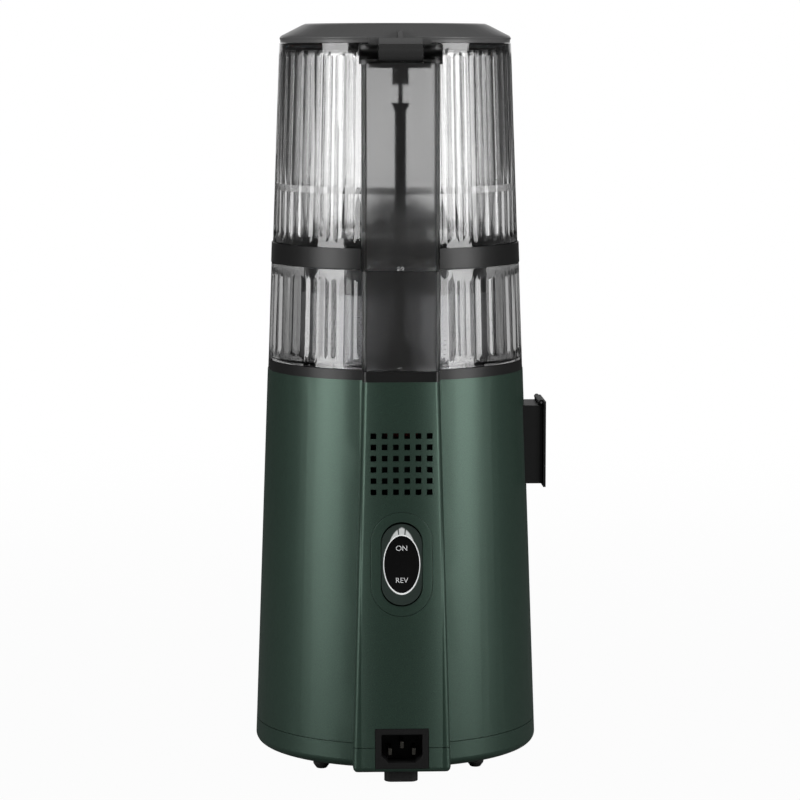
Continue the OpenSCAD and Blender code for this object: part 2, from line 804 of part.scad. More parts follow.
module gearbox_cover() {
    rim_w = 3;
    pocket_wall = 2.5;
    ear_l = 10;
    color("#3a3c3e") difference() {
        union() {
            translate([0, 0, case_top]) cylinder(h = cover_t, r = case_r);
            translate([0, 0, case_top])
                cylinder(h = cover_t + output_bearing_h, r = output_bearing_r + pocket_wall);
            // a rim that holds the ring gear down
            ring(gear_z + gear_w + gear_gap / 2, case_top + eps, ring_r - rim_w, ring_r - fit);
            at_ring(case_screw_angles, case_screw_ring)
                translate([0, 0, case_top]) cylinder(h = cover_t, r = case_boss_r, $fn = 48);
            at_ring(cover_ear_angles, cover_ear_ring) translate([0, 0, case_top]) {
                cylinder(h = cover_t, r = cover_ear_r);
                translate([-ear_l, -cover_ear_r, 0]) cube([ear_l, 2 * cover_ear_r, cover_t]);
            }
        }
        translate([0, 0, case_top - eps])
            cylinder(h = cover_t + output_bearing_h + 2 * eps, r = output_r + 1.5);
        translate([0, 0, cover_top]) cylinder(h = output_bearing_h + eps, r = output_bearing_r);
        screw_holes(case_screw_angles, case_screw_ring, case_top - eps, cover_t + 2 * eps, fit);
        screw_holes(cover_ear_angles, cover_ear_ring, case_top - eps, cover_t + 2 * eps, fit);
    }
}

module output_bearing() {
    color("silver") ring(cover_top, cover_top + output_bearing_h, output_r + running, output_bearing_r);
}

// Four screws hold the cover to the case, and four hold the cover up to the well
module gearbox_screws() {
    color("silver") {
        at_ring(case_screw_angles, case_screw_ring)
            translate([0, 0, cover_top]) mirror([0, 0, 1]) screw(small_screw_r, cover_t + 10);
        at_ring(cover_ear_angles, cover_ear_ring)
            translate([0, 0, case_top]) screw(small_screw_r, cover_t + 6);
    }
}

// ---------------------------------------------------------------------------- electrics

// A board with a relay and a capacitor at its outer end, a choke and a terminal block at its
// inner end
module control_board() {
    relay = [15, 17, 15];
    choke = [9, 15, 11];
    terminals = [8, 14, 9];
    capacitor_r = 6;
    capacitor_h = 20;
    edge = 3;
    z0 = floor_z + board_post_h;
    color("#1f5b34") translate([board_x0, -board_half, z0]) cube([board_x1 - board_x0, 2 * board_half, board_t]);
    translate([0, 0, z0 + board_t]) {
        color("#202020") translate([board_x0 + edge, edge - board_half, 0]) cube(relay);
        color("#2c3f7a") translate([board_x0 + edge + capacitor_r + 2, board_half / 2, 0])
            cylinder(h = capacitor_h, r = capacitor_r, $fn = 48);
        color("#d8c04a") translate([board_x1 - edge - choke[0] - 1, edge + 1 - board_half, 0]) cube(choke);
        color("#e8e8e8") translate([board_x1 - edge - terminals[0] - 2, edge, 0]) cube(terminals);
    }
}

module switch_trim() {
    color("#23443a") on_spine(rocker_z) translate([0, 0, -trim_t])
        linear_extrude(height = trim_t) difference() {
            oval(trim_w - fit, trim_h - fit);
            oval(rocker_w, rocker_h);
        }
}

module switch_box() {
    color("#1a1a1a") on_spine(rocker_z) difference() {
        translate([-rocker_w / 2 - box_wall, -rocker_h / 2 - box_wall, -wall - switch_depth])
            cube([rocker_w + 2 * box_wall, rocker_h + 2 * box_wall, switch_depth]);
        translate([0, 0, -wall - recess_depth]) linear_extrude(height = recess_depth + eps)
            oval(rocker_w, rocker_h);
        translate([-rocker_w / 2 - 2 * box_wall, 0, -rocker_pivot]) rotate([0, 90, 0])
            cylinder(h = rocker_w + 4 * box_wall, r = trunnion_r + running, $fn = 48);
    }
    color("silver") on_spine(rocker_z) for (side = [-1:1])
        translate([-blade_w / 2, side * blade_pitch - blade_t / 2, -wall - switch_depth - blade_l])
            cube([blade_w, blade_t, blade_l]);
}

// The button is dished along its height, and two trunnions carry it in the switch box
module rocker_button() {
    color("#c9ccce") on_spine(rocker_z) {
        difference() {
            translate([0, 0, -rocker_pivot - button_back])
                linear_extrude(height = rocker_pivot + button_back + button_proud) oval(button_w, button_h);
            translate([-rocker_w, 0, dish_r - dish_depth]) rotate([0, 90, 0])
                cylinder(h = 2 * rocker_w, r = dish_r);
            translate([0, 0, -inlay_floor]) linear_extrude(height = inlay_floor + 2 * button_proud)
                inlay_outline(0);
        }
        translate([-button_w / 2 - trunnion_l, 0, -rocker_pivot]) rotate([0, 90, 0])
            cylinder(h = button_w + 2 * trunnion_l, r = trunnion_r, $fn = 48);
    }
}

module inlay_outline(inset) {
    points = 48;
    polygon([for (i = [0:points - 1]) [
        (inlay_half_w - inset) * cos(i * 360 / points),
        (inlay_half_h - inset) * sin(i * 360 / points)]]);
}

module rocker_inlay() {
    color("#101010") on_spine(rocker_z) translate([0, 0, -inlay_floor])
        linear_extrude(height = inlay_t) inlay_outline(inlay_gap);
}

module power_inlet() {
    body_w = inlet_w - 3;
    body_h = inlet_h - 3;
    w = inlet_half_w;
    h = inlet_half_h;
    cut = inlet_corner;
    color("#141414") on_spine(inlet_z) difference() {
        union() {
            translate([-inlet_w / 2, -inlet_h / 2, -inlet_flange]) cube([inlet_w, inlet_h, inlet_flange]);
            translate([-body_w / 2, -body_h / 2, -inlet_body])
                cube([body_w, body_h, inlet_body - inlet_flange + eps]);
        }
        translate([0, 0, -inlet_recess]) linear_extrude(height = inlet_recess + eps)
            polygon([[-w, h], [-w, cut - h], [cut - w, -h], [w - cut, -h], [w, cut - h], [w, h]]);
        for (p = pin_places)
            translate([p[0], p[1], -inlet_body - eps]) inlet_pin(inlet_body - inlet_recess + 2 * eps);
    }
}

// One flat pin of the inlet, standing up from the origin
module inlet_pin(l) {
    translate([-inlet_pin_w / 2, -inlet_pin_h / 2, 0]) cube([inlet_pin_w, inlet_pin_h, l]);
}

module inlet_pins() {
    tail = 8;
    short = 1.5;
    color("silver") on_spine(inlet_z)
        for (p = pin_places) translate([p[0], p[1], -inlet_body - tail]) inlet_pin(inlet_body + tail - short);
}

// ---------------------------------------------------------------------------- well and seal

module bowl_well() {
    lip_in = skin_r(collar_z) - wall - fit - lip_t;
    boss_l = collar_z - ledge_z - ledge_t;
    color("#161616") difference() {
        union() {
            tower(collar_z, collar_top, bowl_inset);
            translate([0, 0, well_floor_z]) cylinder(h = collar_z - well_floor_z + eps, r = well_r + well_wall);
            difference() {
                cone(ledge_z + ledge_t, collar_z + eps, wall + fit);
                slab(spine_top_w, -spine_y, 0, ledge_z, collar_top);
                translate([0, 0, ledge_z]) cylinder(h = collar_z - ledge_z - eps, r = lip_in);
            }
            at_ring(well_screw_angles, well_screw_ring)
                translate([0, 0, ledge_z + ledge_t]) cylinder(h = boss_l + eps, r = 2 * small_screw_r, $fn = 48);
            at_ring(cover_ear_angles, cover_ear_ring)
                translate([0, 0, cover_top]) cylinder(h = well_floor_z - cover_top + eps, r = cover_ear_r);
        }
        translate([0, 0, well_floor_z + well_floor_t]) cylinder(h = well_depth, r = well_r);
        translate([0, 0, well_floor_z - eps]) cylinder(h = well_floor_t + 2 * eps, r = shaft_seal_r);
        screw_holes(well_screw_angles, well_screw_ring, ledge_z, ledge_t + boss_l + collar_h / 2, running);
        screw_holes(cover_ear_angles, cover_ear_ring, case_top, cover_t + 7, running);
        outlet_cuts();
        pin_hole(collar_z, collar_h);
    }
}

// A loose hole for the interlock pins through a floor
module pin_hole(z0, h) {
    translate([0, -interlock_y, z0 - eps]) cylinder(h = h + 2 * eps, r = pin_r + fit, $fn = 48);
}

module well_screws() {
    color("silver") at_ring(well_screw_angles, well_screw_ring)
        translate([0, 0, ledge_z]) screw(small_screw_r, ledge_t + 5);
}

module shaft_seal() {
    lip_w = 2;
    lip_top = well_floor_z + well_floor_t + 1;
    color("#3b3b3b") {
        ring(well_floor_z, well_floor_z + well_floor_t, output_r + running, shaft_seal_r);
        ring(well_floor_z + well_floor_t - eps, lip_top, output_r + running, output_r + lip_w);
    }
}

// ---------------------------------------------------------------------------- interlock in the base

module microswitch() {
    guide_h = 8;
    top = collar_top - pin_joint - plunger_h - spring_h;
    foot = top - microswitch_h;
    front = -well_r - well_wall - well_gap;
    behind = -interlock_y - 2 * bracket_back;
    color("#b02a22") slab(microswitch_w, -interlock_y - microswitch_back, front, foot, top);
    // a bracket carries the switch and guides the plunger
    color("#2b2b2b") difference() {
        slab(bracket_w, -interlock_y - bracket_back, front, foot - bracket_t, collar_z);
        slab(microswitch_w, behind, front + eps, foot, top);
        slab(microswitch_w, behind, -well_r, top - eps, collar_z - guide_h);
        pin_hole(top, collar_z - top);
    }
}

module interlock_plunger() {
    flange_t = 1.2;
    color("silver") translate([0, -interlock_y, collar_top - pin_joint - plunger_h]) {
        cylinder(h = plunger_h, r = pin_r, $fn = 48);
        cylinder(h = flange_t, r = plunger_flange_r, $fn = 48);
    }
}

// The spring's centre line is a helix, and each ring of its wire has six corners
module plunger_spring() {
    turns = 4;
    steps = 16;
    sides = 6;
    wire_r = 0.35;
    coil_r = plunger_flange_r - wire_r;
    z1 = collar_top - pin_joint - plunger_h - wire_r;
    z0 = z1 - spring_h + 2 * wire_r;
    last = turns * steps;
    function at(i, k) =
        let (a = i * 360 / steps, b = k * 360 / sides, r = coil_r + wire_r * cos(b))
        [r * cos(a), r * sin(a) - interlock_y, z0 + (z1 - z0) * i / last + wire_r * sin(b)];
    color("gainsboro") polyhedron(
        points = [for (i = [0:last], k = [0:sides - 1]) at(i, k)],
        faces = [
            [for (k = [0:sides - 1]) k],
            [for (k = [sides - 1:-1:0]) last * sides + k],
            for (i = [0:last - 1], k = [0:sides - 1])
                let (n = (k + 1) % sides, a = i * sides, b = (i + 1) * sides)
                [a + n, a + k, b + k, b + n]
        ]
    );
}

// ---------------------------------------------------------------------------- outlets

// A cylinder along +Y from a plane, centred on X
module spout_rod(y0, l, r) {
    translate([0, y0, spout_mid]) rotate([-90, 0, 0]) cylinder(h = l, r = r);
}

module juice_spout() {
    flange_gap = 0.6;
    flange_t = 1.6;
    color("#161616") difference() {
        union() {
            spout_rod(spout_y0, spout_y - spout_y0, spout_r);
            spout_rod(skin_r(spout_mid) + flange_gap, flange_t, spout_r + spout_flange);
            slab(spout_knuckle_w, cap_pin_y - spout_knuckle_r, cap_pin_y + spout_knuckle_r, spout_mid, cap_pin_z);
            x_rod(cap_pin_y, cap_pin_z, spout_knuckle_r, spout_knuckle_w);
        }
        spout_rod(spout_y0 - eps, spout_y - spout_y0 + 2 * eps, spout_r - spout_wall);
        slab(cap_knuckle_w + 2 * cap_gap, cap_pin_y - spout_knuckle_r - 1, spout_y,
             spout_mid + spout_r - cap_gap, cap_pin_z + 2 * spout_knuckle_r);
        x_rod(cap_pin_y, cap_pin_z, cap_pin_r + running, 2 * spout_knuckle_w);
    }
}

module spout_cap() {
    face = spout_y + cap_gap;
    front = face + cap_t;
    tab_w = 10;
    tab_l = 5;
    tab_t = 3;
    color("#161616") difference() {
        union() {
            spout_rod(face, cap_t, spout_r);
            slab(cap_knuckle_w, cap_pin_y, front, spout_mid + spout_r + 1, cap_pin_z + cap_knuckle_r);
            slab(cap_knuckle_w, face, front, spout_mid, cap_pin_z + cap_knuckle_r);
            x_rod(cap_pin_y, cap_pin_z, cap_knuckle_r, cap_knuckle_w);
            slab(tab_w, front - eps, front + tab_l, spout_mid - spout_r, spout_mid - spout_r + tab_t);
        }
        x_rod(cap_pin_y, cap_pin_z, cap_pin_r + running, 2 * spout_knuckle_w);
    }
}

module cap_pin() {
    color("silver") x_rod(cap_pin_y, cap_pin_z, cap_pin_r, spout_knuckle_w + 1);
}

// A cylinder along Y on the outlet door's hinge line
module door_rod(y0, l, r) {
    translate([door_pin_x, y0, door_pin_z]) rotate([-90, 0, 0]) cylinder(h = l, r = r, $fn = 48);
}

module pulp_outlet() {
    inner_w = outlet_w - 2 * duct_wall;
    inner_h = outlet_h - 2 * duct_wall;
    foot_h = door_barrel_r + 1;
    z0 = outlet_mid - outlet_h / 2;
    color("#161616") difference() {
        union() {
            translate([duct_x0, -outlet_w / 2, z0]) cube([door_x0 - door_gap - duct_x0, outlet_w, outlet_h]);
            for (side = [-1, 1]) {
                y0 = side * duct_knuckle_y - duct_knuckle_w / 2;
                door_rod(y0, duct_knuckle_w, door_barrel_r);
                translate([door_pin_x - door_barrel_r, y0, door_pin_z - foot_h])
                    cube([2 * door_barrel_r - duct_gap, duct_knuckle_w, foot_h]);
            }
        }
        translate([duct_x0 - eps, -inner_w / 2, z0 + duct_wall]) cube([outlet_x, inner_w, inner_h]);
        door_rod(-outlet_w, 2 * outlet_w, door_pin_r + running);
    }
}

module outlet_door() {
    z0 = outlet_mid - outlet_h / 2 - door_under;
    z1 = outlet_mid + outlet_h / 2 + door_over;
    w = outlet_w + 2 * door_side;
    slot_w = duct_knuckle_w + 2 * door_gap;
    slot_z = door_pin_z - door_barrel_r - duct_gap;
    // half length of the middle knuckle, and place and length of the outer ones
    mid = duct_knuckle_y - slot_w / 2 - door_gap;
    outer = duct_knuckle_y + slot_w / 2 + 0.1;
    outer_l = 3;
    color("#161616") difference() {
        union() {
            difference() {
                translate([door_x0, -w / 2, z0]) cube([door_t, w, z1 - z0]);
                for (side = [-1, 1]) translate([door_pin_x, side * duct_knuckle_y - slot_w / 2, slot_z])
                    cube([door_barrel_r + duct_gap, slot_w, z1 - slot_z + eps]);
            }
            for (k = [[-mid, 2 * mid], [outer, outer_l], [-outer - outer_l, outer_l]]) {
                door_rod(k[0], k[1], door_barrel_r);
                translate([door_pin_x, k[0], door_pin_z]) cube([door_x0 - door_pin_x + eps, k[1], 1]);
            }
        }
        door_rod(-outlet_w, 2 * outlet_w, door_pin_r + running);
    }
}

module door_pin() {
    color("silver") door_rod(-outlet_w / 2, outlet_w, door_pin_r);
}

// ---------------------------------------------------------------------------- bowl and auger

// The way of the pulp from the strainer to the outlet, widened all round by a border
module pulp_way(reach, border = 0) {
    translate([0, -pulp_half_w - border, outlet_mid - pulp_h / 2 - border])
        cube([reach, 2 * (pulp_half_w + border), pulp_h + 2 * border]);
}

module bowl() {
    sleeve_gap = 0.6;
    sleeve_wall = 2;
    color([0.75, 0.76, 0.78, 0.35]) difference() {
        union() {
            cone(bowl_z, bowl_top, bowl_inset);
            spine(bowl_z, bowl_top);
            translate([0, 0, cup_floor_z]) cylinder(h = bowl_z - cup_floor_z + eps, r = cup_r);
        }
        difference() {
            translate([0, 0, cup_floor_z + cup_floor_t]) cylinder(h = bowl_top, r = cup_r - clear_wall);
            // the pulp sleeve joins the strainer's window to the outlet
            difference() {
                pulp_way(cup_r, sleeve_wall);
                translate([0, 0, cup_floor_z]) cylinder(h = bowl_h + well_depth, r = strainer_r + sleeve_gap);
            }
        }
        cone(bowl_z + clear_wall, bowl_top + eps, bowl_inset + clear_wall);
        spine(bowl_z + clear_wall, bowl_top + eps, clear_wall);
        translate([0, 0, cup_floor_z - eps]) cylinder(h = cup_floor_t + 2 * eps, r = seal_r);
        pulp_way(beyond_r);
        spout_rod(0, beyond_r, spout_r - spout_wall);
        pin_hole(bowl_z, clear_wall);
    }
}

module bowl_seal() {
    hub_gap = 0.3;
    lip_w = 1.7;
    seal_top = cup_floor_z + cup_floor_t;
    color("#9a9a9a") {
        ring(cup_floor_z, seal_top, hub_r + hub_gap, seal_r);
        ring(seal_top - eps, seal_top + 2, hub_r + hub_gap, hub_r + hub_gap + lip_w);
    }
}

// An upright guide tube for the interlock pin, standing in a block that clips into the spine
module guide_tube(z0, z1, block_h) {
    translate([0, -interlock_y, z0]) cylinder(h = z1 - z0, r = tube_r, $fn = 64);
    slab(tube_block_w, -interlock_y - tube_r, -interlock_y + tube_r, z0, z0 + block_h);
}

module bowl_tube() {
    color("#1b1b1b") difference() {
        guide_tube(bowl_z + clear_wall, bowl_top - 1, tube_block_h);
        translate([0, -interlock_y, bowl_z]) cylinder(h = bowl_h + eps, r = pin_r + running, $fn = 48);
    }
}

module bowl_pin() {
    z0 = collar_top + pin_joint;
    z1 = hopper_z - pin_joint;
    color("silver") translate([0, -interlock_y, z0]) cylinder(h = z1 - z0, r = pin_r, $fn = 48);
}

module strainer_frame() {
    ribs = 8;
    rib_w = 5;
    foot_top = strainer_floor_z + 8;
    head_z = strainer_top - 16;
    color("#3a3a3c") difference() {
        union() {
            ring(cup_floor_z + cup_floor_t, foot_top, sleeve_r, strainer_r);
            ring(strainer_floor_z, strainer_floor_z + strainer_floor_t, hub_r + 2, strainer_r);
            ring(head_z, strainer_top, sleeve_r, strainer_r);
            ring(strainer_top - strainer_floor_t, strainer_top, sleeve_r - sleeve_t, strainer_r);
            difference() {
                ring(strainer_floor_z, strainer_top, sleeve_r, strainer_r);
                for (i = [0:ribs - 1]) rotate([0, 0, i * 360 / ribs])
                    translate([0, 0, foot_top]) gap_wedge(360 / ribs, rib_w, head_z - foot_top);
            }
        }
        pulp_way(beyond_r);
    }
}

// The opening between two ribs: a wedge with its sides held back by half a rib
module gap_wedge(angle, rib_w, h) {
    reach = 2 * strainer_r;
    linear_extrude(height = h) intersection() {
        translate([0, rib_w / 2]) square([reach, reach]);
        rotate(angle) translate([0, -reach - rib_w / 2]) square([reach, reach]);
    }
}

module strainer_sleeve() {
    color("#b9bcbf") difference() {
        ring(strainer_floor_z + strainer_floor_t, strainer_top - strainer_floor_t, sleeve_r - sleeve_t, sleeve_r);
        pulp_way(beyond_r);
    }
}

// Three flights wind round a cone; above the strainer they draw in to pass the hopper's throat,
// and they run out towards the tip
module auger() {
    h = auger_top - auger_z;
    flight_w = 4.4;
    plate_t = 4;
    tip_r = 8;
    runout = 24;
    neck_z = strainer_top - auger_z - 6;
    throat_clear = throat_r - 1.5;
    color("#26282a") difference() {
        union() {
            translate([0, 0, cup_floor_z + 1]) cylinder(h = auger_z - cup_floor_z, r = hub_r);
            translate([0, 0, auger_z]) cylinder(h = h - tip_r, r1 = 0.62 * auger_r, r2 = tip_r - 1);
            translate([0, 0, auger_z]) cylinder(h = plate_t, r = auger_r);
            intersection() {
                translate([0, 0, auger_z])
                    linear_extrude(height = h, twist = -360 * auger_turns, slices = 60, $fn = 16)
                        for (a = [0, 120, 240])
                            rotate(a) translate([0, -flight_w / 2]) square([auger_r + 6, flight_w]);
                translate([0, 0, auger_z]) rotate_extrude($fn = 96)
                    polygon([[0, 0], [auger_r, 0], [auger_r, neck_z - 6], [throat_clear, neck_z],
                             [throat_clear - 2, h - runout], [tip_r, h], [0, h]]);
            }
        }
        translate([0, 0, cup_floor_z])
            cylinder(h = hex_z + hex_l + 1 - cup_floor_z, d = (hex_af + 2 * fit) / cos(30), $fn = 6);
    }
}

// ---------------------------------------------------------------------------- hopper and lid

module hopper() {
    inner = hopper_inset + clear_wall;
    funnel_r = skin_r(funnel_top) - inner;
    funnel_t = 4;
    outer_r = throat_r + clear_wall;
    skirt_in = skin_r(hopper_z) - band_t - fit - clear_wall;
    core_r = outer_r + 8;
    core_rise = 6;
    notch_z = hinge_z - knuckle_r - notch_gap;
    knuckle_root = 1.4;
    side_w = (hinge_w - knuckle_w - 2 * hinge_gap) / 2;
    color([0.45, 0.46, 0.47, 0.5]) difference() {
        union() {
            difference() {
                union() {
                    cone(hopper_z, rim_z, hopper_inset);
                    spine(hopper_z, rim_z);
                }
                // chamber, funnel and throat
                rotate_extrude() polygon([
                    [0, hopper_z - eps], [throat_r, hopper_z - eps], [throat_r, throat_top],
                    [funnel_r, funnel_top], [skin_r(rim_z + eps) - inner, rim_z + eps], [0, rim_z + eps]]);
                // hollow between the throat and the skin, open below
                rotate_extrude() polygon([
                    [outer_r, hopper_z - eps], [outer_r, throat_top - funnel_t / 2],
                    [funnel_r, funnel_top - funnel_t], [skirt_in, band_top], [skirt_in, hopper_z - eps]]);
                // channel of the spine, open to the chamber above the funnel
                difference() {
                    spine(hopper_z + clear_wall, rim_z + eps, clear_wall);
                    rotate_extrude() polygon([
                        [0, hopper_z], [core_r, hopper_z], [core_r, throat_top + core_rise],
                        [funnel_r + fit / 2, funnel_top - funnel_t], [funnel_r, funnel_top], [0, funnel_top]]);
                }
                // groove of the band
                difference() {
                    ring(hopper_z - eps, band_top, throat_r, beyond_r);
                    cone(hopper_z - 2 * eps, band_top + eps, band_t + fit / 2);
                    slab(spine_top_w, -spine_y, 0, hopper_z - 2 * eps, band_top + eps);
                }
                // notch of the lid's knuckle and arm
                slab(hinge_w + 1, -spine_y, -hinge_y, notch_z, rim_z + eps);
                slab(knuckle_w + 2 * hinge_gap, -spine_y, hinge_arm - hinge_y, notch_z, rim_z + eps);
            }
            for (side = [-1, 1]) translate([side * (hinge_w - side_w) / 2, 0, 0]) {
                x_rod(-hinge_y, hinge_z, knuckle_r, side_w);
                slab(side_w, knuckle_root - hinge_y - knuckle_r, 1 - hinge_y, hinge_z - knuckle_r - 1, hinge_z);
            }
        }
        x_rod(-hinge_y, hinge_z, hinge_pin_r + running, 2 * hinge_w);
        pin_hole(hopper_z, clear_wall);
        // groove of the interlock tube, in the funnel's edge
        translate([0, -interlock_y, hopper_z + clear_wall])
            cylinder(h = cup_top - hopper_z - clear_wall, r = tube_r + fit, $fn = 64);
    }
}

module hopper_band() {
    color("#1c1c1c") difference() {
        cone(hopper_z, band_top);
        cone(hopper_z - eps, band_top + eps, band_t);
        slab(spine_top_w + 2 * fit, -spine_y, 0, hopper_z - eps, band_top + eps);
    }
}

module hopper_seal() {
    seal_h = 4.5;
    color("#8a8a8a") ring(strainer_top + eps, strainer_top + eps + seal_h, throat_r + clear_wall, strainer_r);
}

module hopper_tube() {
    cup_depth = 2;
    cup_wall = 1.2;
    color("#1b1b1b") difference() {
        union() {
            guide_tube(hopper_z + clear_wall, cup_top, tube_block_h - clear_wall);
            translate([0, -interlock_y, cup_top - tube_cup_h])
                cylinder(h = tube_cup_h, r1 = tube_r, r2 = tube_cup_r, $fn = 64);
        }
        translate([0, -interlock_y, hopper_z]) cylinder(h = hopper_h, r = pin_r + running, $fn = 48);
        translate([0, -interlock_y, cup_top - cup_depth])
            cylinder(h = cup_depth + eps, r1 = pin_r, r2 = tube_cup_r - cup_wall, $fn = 64);
    }
}

module hopper_pin() {
    z0 = hopper_z + pin_joint;
    color("silver") translate([0, -interlock_y, z0]) cylinder(h = boss_z - pin_joint - z0, r = pin_r, $fn = 48);
}

module lid() {
    front = hinge_arm - hinge_y;
    arm_top = rim_z + 3;
    plug_w = 36.5;
    nub_w = 2.4;
    color([0.2, 0.2, 0.21]) difference() {
        union() {
            // the plate, its sloping edge with a seam under it, and the skirt
            rotate_extrude() polygon([
                [0, lid_top - lid_shell], [lid_top_r - 1, lid_top - lid_shell],
                [skirt_r - skirt_t, lid_edge_z - 1], [skirt_r - skirt_t, rim_z - skirt_drop],
                [skirt_r, rim_z - skirt_drop], [skirt_r, lid_z],
                [lid_r - 0.4, lid_z], [lid_r - 0.4, lid_z + 1.6], [lid_r, lid_z + 2.4], [lid_r, lid_z + 3],
                [lid_r - 0.8, lid_edge_z], [lid_top_r + 2.6, lid_top - 1.1], [lid_top_r, lid_top], [0, lid_top]]);
            // arm, plug and middle knuckle of the hinge
            x_rod(-hinge_y, hinge_z, knuckle_r, knuckle_w);
            slab(knuckle_w, 1 - hinge_y, front + 2, hinge_z, arm_top);
            slab(knuckle_w, -interlock_y - boss_r, front + 1, plug_z, hinge_z);
            slab(plug_w, knuckle_r + hinge_gap - hinge_y, front, plug_z, arm_top);
            slab(nub_w, 2 - hinge_y, front, hinge_z + knuckle_r, lid_top - 4.6);
            pin_boss();
        }
        x_rod(-hinge_y, hinge_z, hinge_pin_r + running, 2 * hinge_w);
    }
}

// The boss presses the interlock pin; behind the pin its underside slopes up, so that it
// leaves the pin's head as the lid opens
module pin_boss() {
    reach = 4 * boss_r;
    translate([0, -interlock_y, boss_z]) difference() {
        cylinder(h = boss_h + eps, r = boss_r, $fn = 64);
        rotate([-boss_slope, 0, 0]) translate([-reach / 2, -reach, -reach]) cube(reach);
    }
}

module lid_seal() {
    color("#555555") difference() {
        ring(rim_z - skirt_drop + 1, rim_z - 1, skirt_r, skirt_r + lid_seal_t);
        slab(lid_seal_open, -spine_y, 0, rim_z - skirt_drop, rim_z);
    }
}

module hinge_pin() {
    color("silver") x_rod(-hinge_y, hinge_z, hinge_pin_r, hinge_w + 1);
}

// ---------------------------------------------------------------------------- nodes

base_tray();
main_housing();
tray_screws();
rubber_feet();
rear_foot();
motor_cradle();
motor_can();
field_magnets();
motor_bearings();
rotor_shaft();
rotor_core();
cooling_fan();
sun_gear();
gearbox_case();
motor_screws();
ring_gear();
for (i = [0:2]) planet_gear(i);
output_shaft();
gearbox_cover();
gearbox_screws();
output_bearing();
control_board();
switch_trim();
switch_box();
rocker_button();
rocker_inlay();
power_inlet();
inlet_pins();
bowl_well();
well_screws();
shaft_seal();
microswitch();
interlock_plunger();
plunger_spring();
juice_spout();
spout_cap();
cap_pin();
pulp_outlet();
outlet_door();
door_pin();
bowl();
bowl_seal();
bowl_tube();
bowl_pin();
strainer_frame();
strainer_sleeve();
auger();
hopper();
hopper_band();
hopper_seal();
hopper_tube();
hopper_pin();
lid();
lid_seal();
hinge_pin();
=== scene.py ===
import json
import math

import bmesh
import bpy
from mathutils import Matrix, Vector

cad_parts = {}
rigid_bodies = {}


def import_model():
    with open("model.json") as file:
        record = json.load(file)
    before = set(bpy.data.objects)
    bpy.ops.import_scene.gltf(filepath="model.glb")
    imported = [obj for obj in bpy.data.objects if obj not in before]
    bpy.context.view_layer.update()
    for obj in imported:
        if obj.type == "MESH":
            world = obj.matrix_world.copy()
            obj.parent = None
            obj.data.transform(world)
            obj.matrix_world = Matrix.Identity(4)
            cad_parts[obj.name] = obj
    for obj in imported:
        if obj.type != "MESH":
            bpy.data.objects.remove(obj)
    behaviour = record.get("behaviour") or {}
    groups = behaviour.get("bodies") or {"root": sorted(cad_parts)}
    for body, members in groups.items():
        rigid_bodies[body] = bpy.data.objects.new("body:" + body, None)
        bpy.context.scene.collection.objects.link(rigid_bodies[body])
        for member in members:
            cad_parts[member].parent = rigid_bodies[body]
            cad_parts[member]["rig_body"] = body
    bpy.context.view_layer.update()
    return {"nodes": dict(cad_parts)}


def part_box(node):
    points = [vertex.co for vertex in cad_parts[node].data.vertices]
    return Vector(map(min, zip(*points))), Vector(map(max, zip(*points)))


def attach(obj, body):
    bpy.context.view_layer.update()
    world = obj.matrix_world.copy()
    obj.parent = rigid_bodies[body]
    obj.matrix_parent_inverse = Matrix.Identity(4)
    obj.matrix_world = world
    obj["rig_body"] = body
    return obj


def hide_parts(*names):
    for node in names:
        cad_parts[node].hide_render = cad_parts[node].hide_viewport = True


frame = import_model()
nodes = frame["nodes"]
MM = 0.001

# ------------------------------------------------------------------ camera
# A long lens behind the juicer, level with its hopper and tilted down a little, so that the
# upright sides stay almost parallel. It stands slightly to the left of the spine's mid-plane.
camera_distance = 1.83
camera_height = 0.43
camera_turn = math.radians(-2.4)
aim_right = 0.0016
tilt_down = 0.115

lens = bpy.data.cameras.new("camera")
lens.lens = 135
lens.sensor_width = 36
lens.clip_end = 50
camera = bpy.data.objects.new("camera", lens)
camera.location = (
    camera_distance * math.sin(camera_turn),
    -camera_distance * math.cos(camera_turn),
    camera_height,
)
camera.rotation_euler = (math.pi / 2 - tilt_down, 0, camera_turn - aim_right)
bpy.context.scene.collection.objects.link(camera)
bpy.context.scene.camera = camera
bpy.context.scene.view_settings.view_transform = "Standard"


# ------------------------------------------------------------------ studio
# A pale table and a white surround. The surround is bright behind the juicer and dim in front
# of it, and two tall soft boxes at the sides draw the upright highlights on the paint.
class Wire:
    """One socket of a node tree, on which shader maths is written as Python."""

    def __init__(self, tree, socket):
        self.tree = tree
        self.socket = socket

    def math(self, operation, *others):
        """This value in an operation, with the other values after it."""
        return calculated(self.tree, operation, self, *others)

    def __add__(self, other):
        return self.math("ADD", other)

    def __sub__(self, other):
        return self.math("SUBTRACT", other)

    def __rsub__(self, other):
        return calculated(self.tree, "SUBTRACT", other, self)

    def __mul__(self, other):
        return self.math("MULTIPLY", other)

    def __truediv__(self, other):
        return self.math("DIVIDE", other)

    def __pow__(self, other):
        return self.math("POWER", other)

    __radd__ = __add__
    __rmul__ = __mul__


def calculated(tree, operation, *values):
    """The result of an operation on wires and numbers."""
    node = tree.nodes.new("ShaderNodeMath")
    node.operation = operation
    for slot, value in zip(node.inputs, values):
        plug(tree, slot, value)
    return Wire(tree, node.outputs[0])


def plug(tree, slot, value):
    """Links a wire to a socket, or sets the socket to a number, a colour or a vector."""
    if isinstance(value, Wire):
        tree.links.new(value.socket, slot)
    elif slot.type == "RGBA":
        slot.default_value = (*value, 1)
    else:
        slot.default_value = value


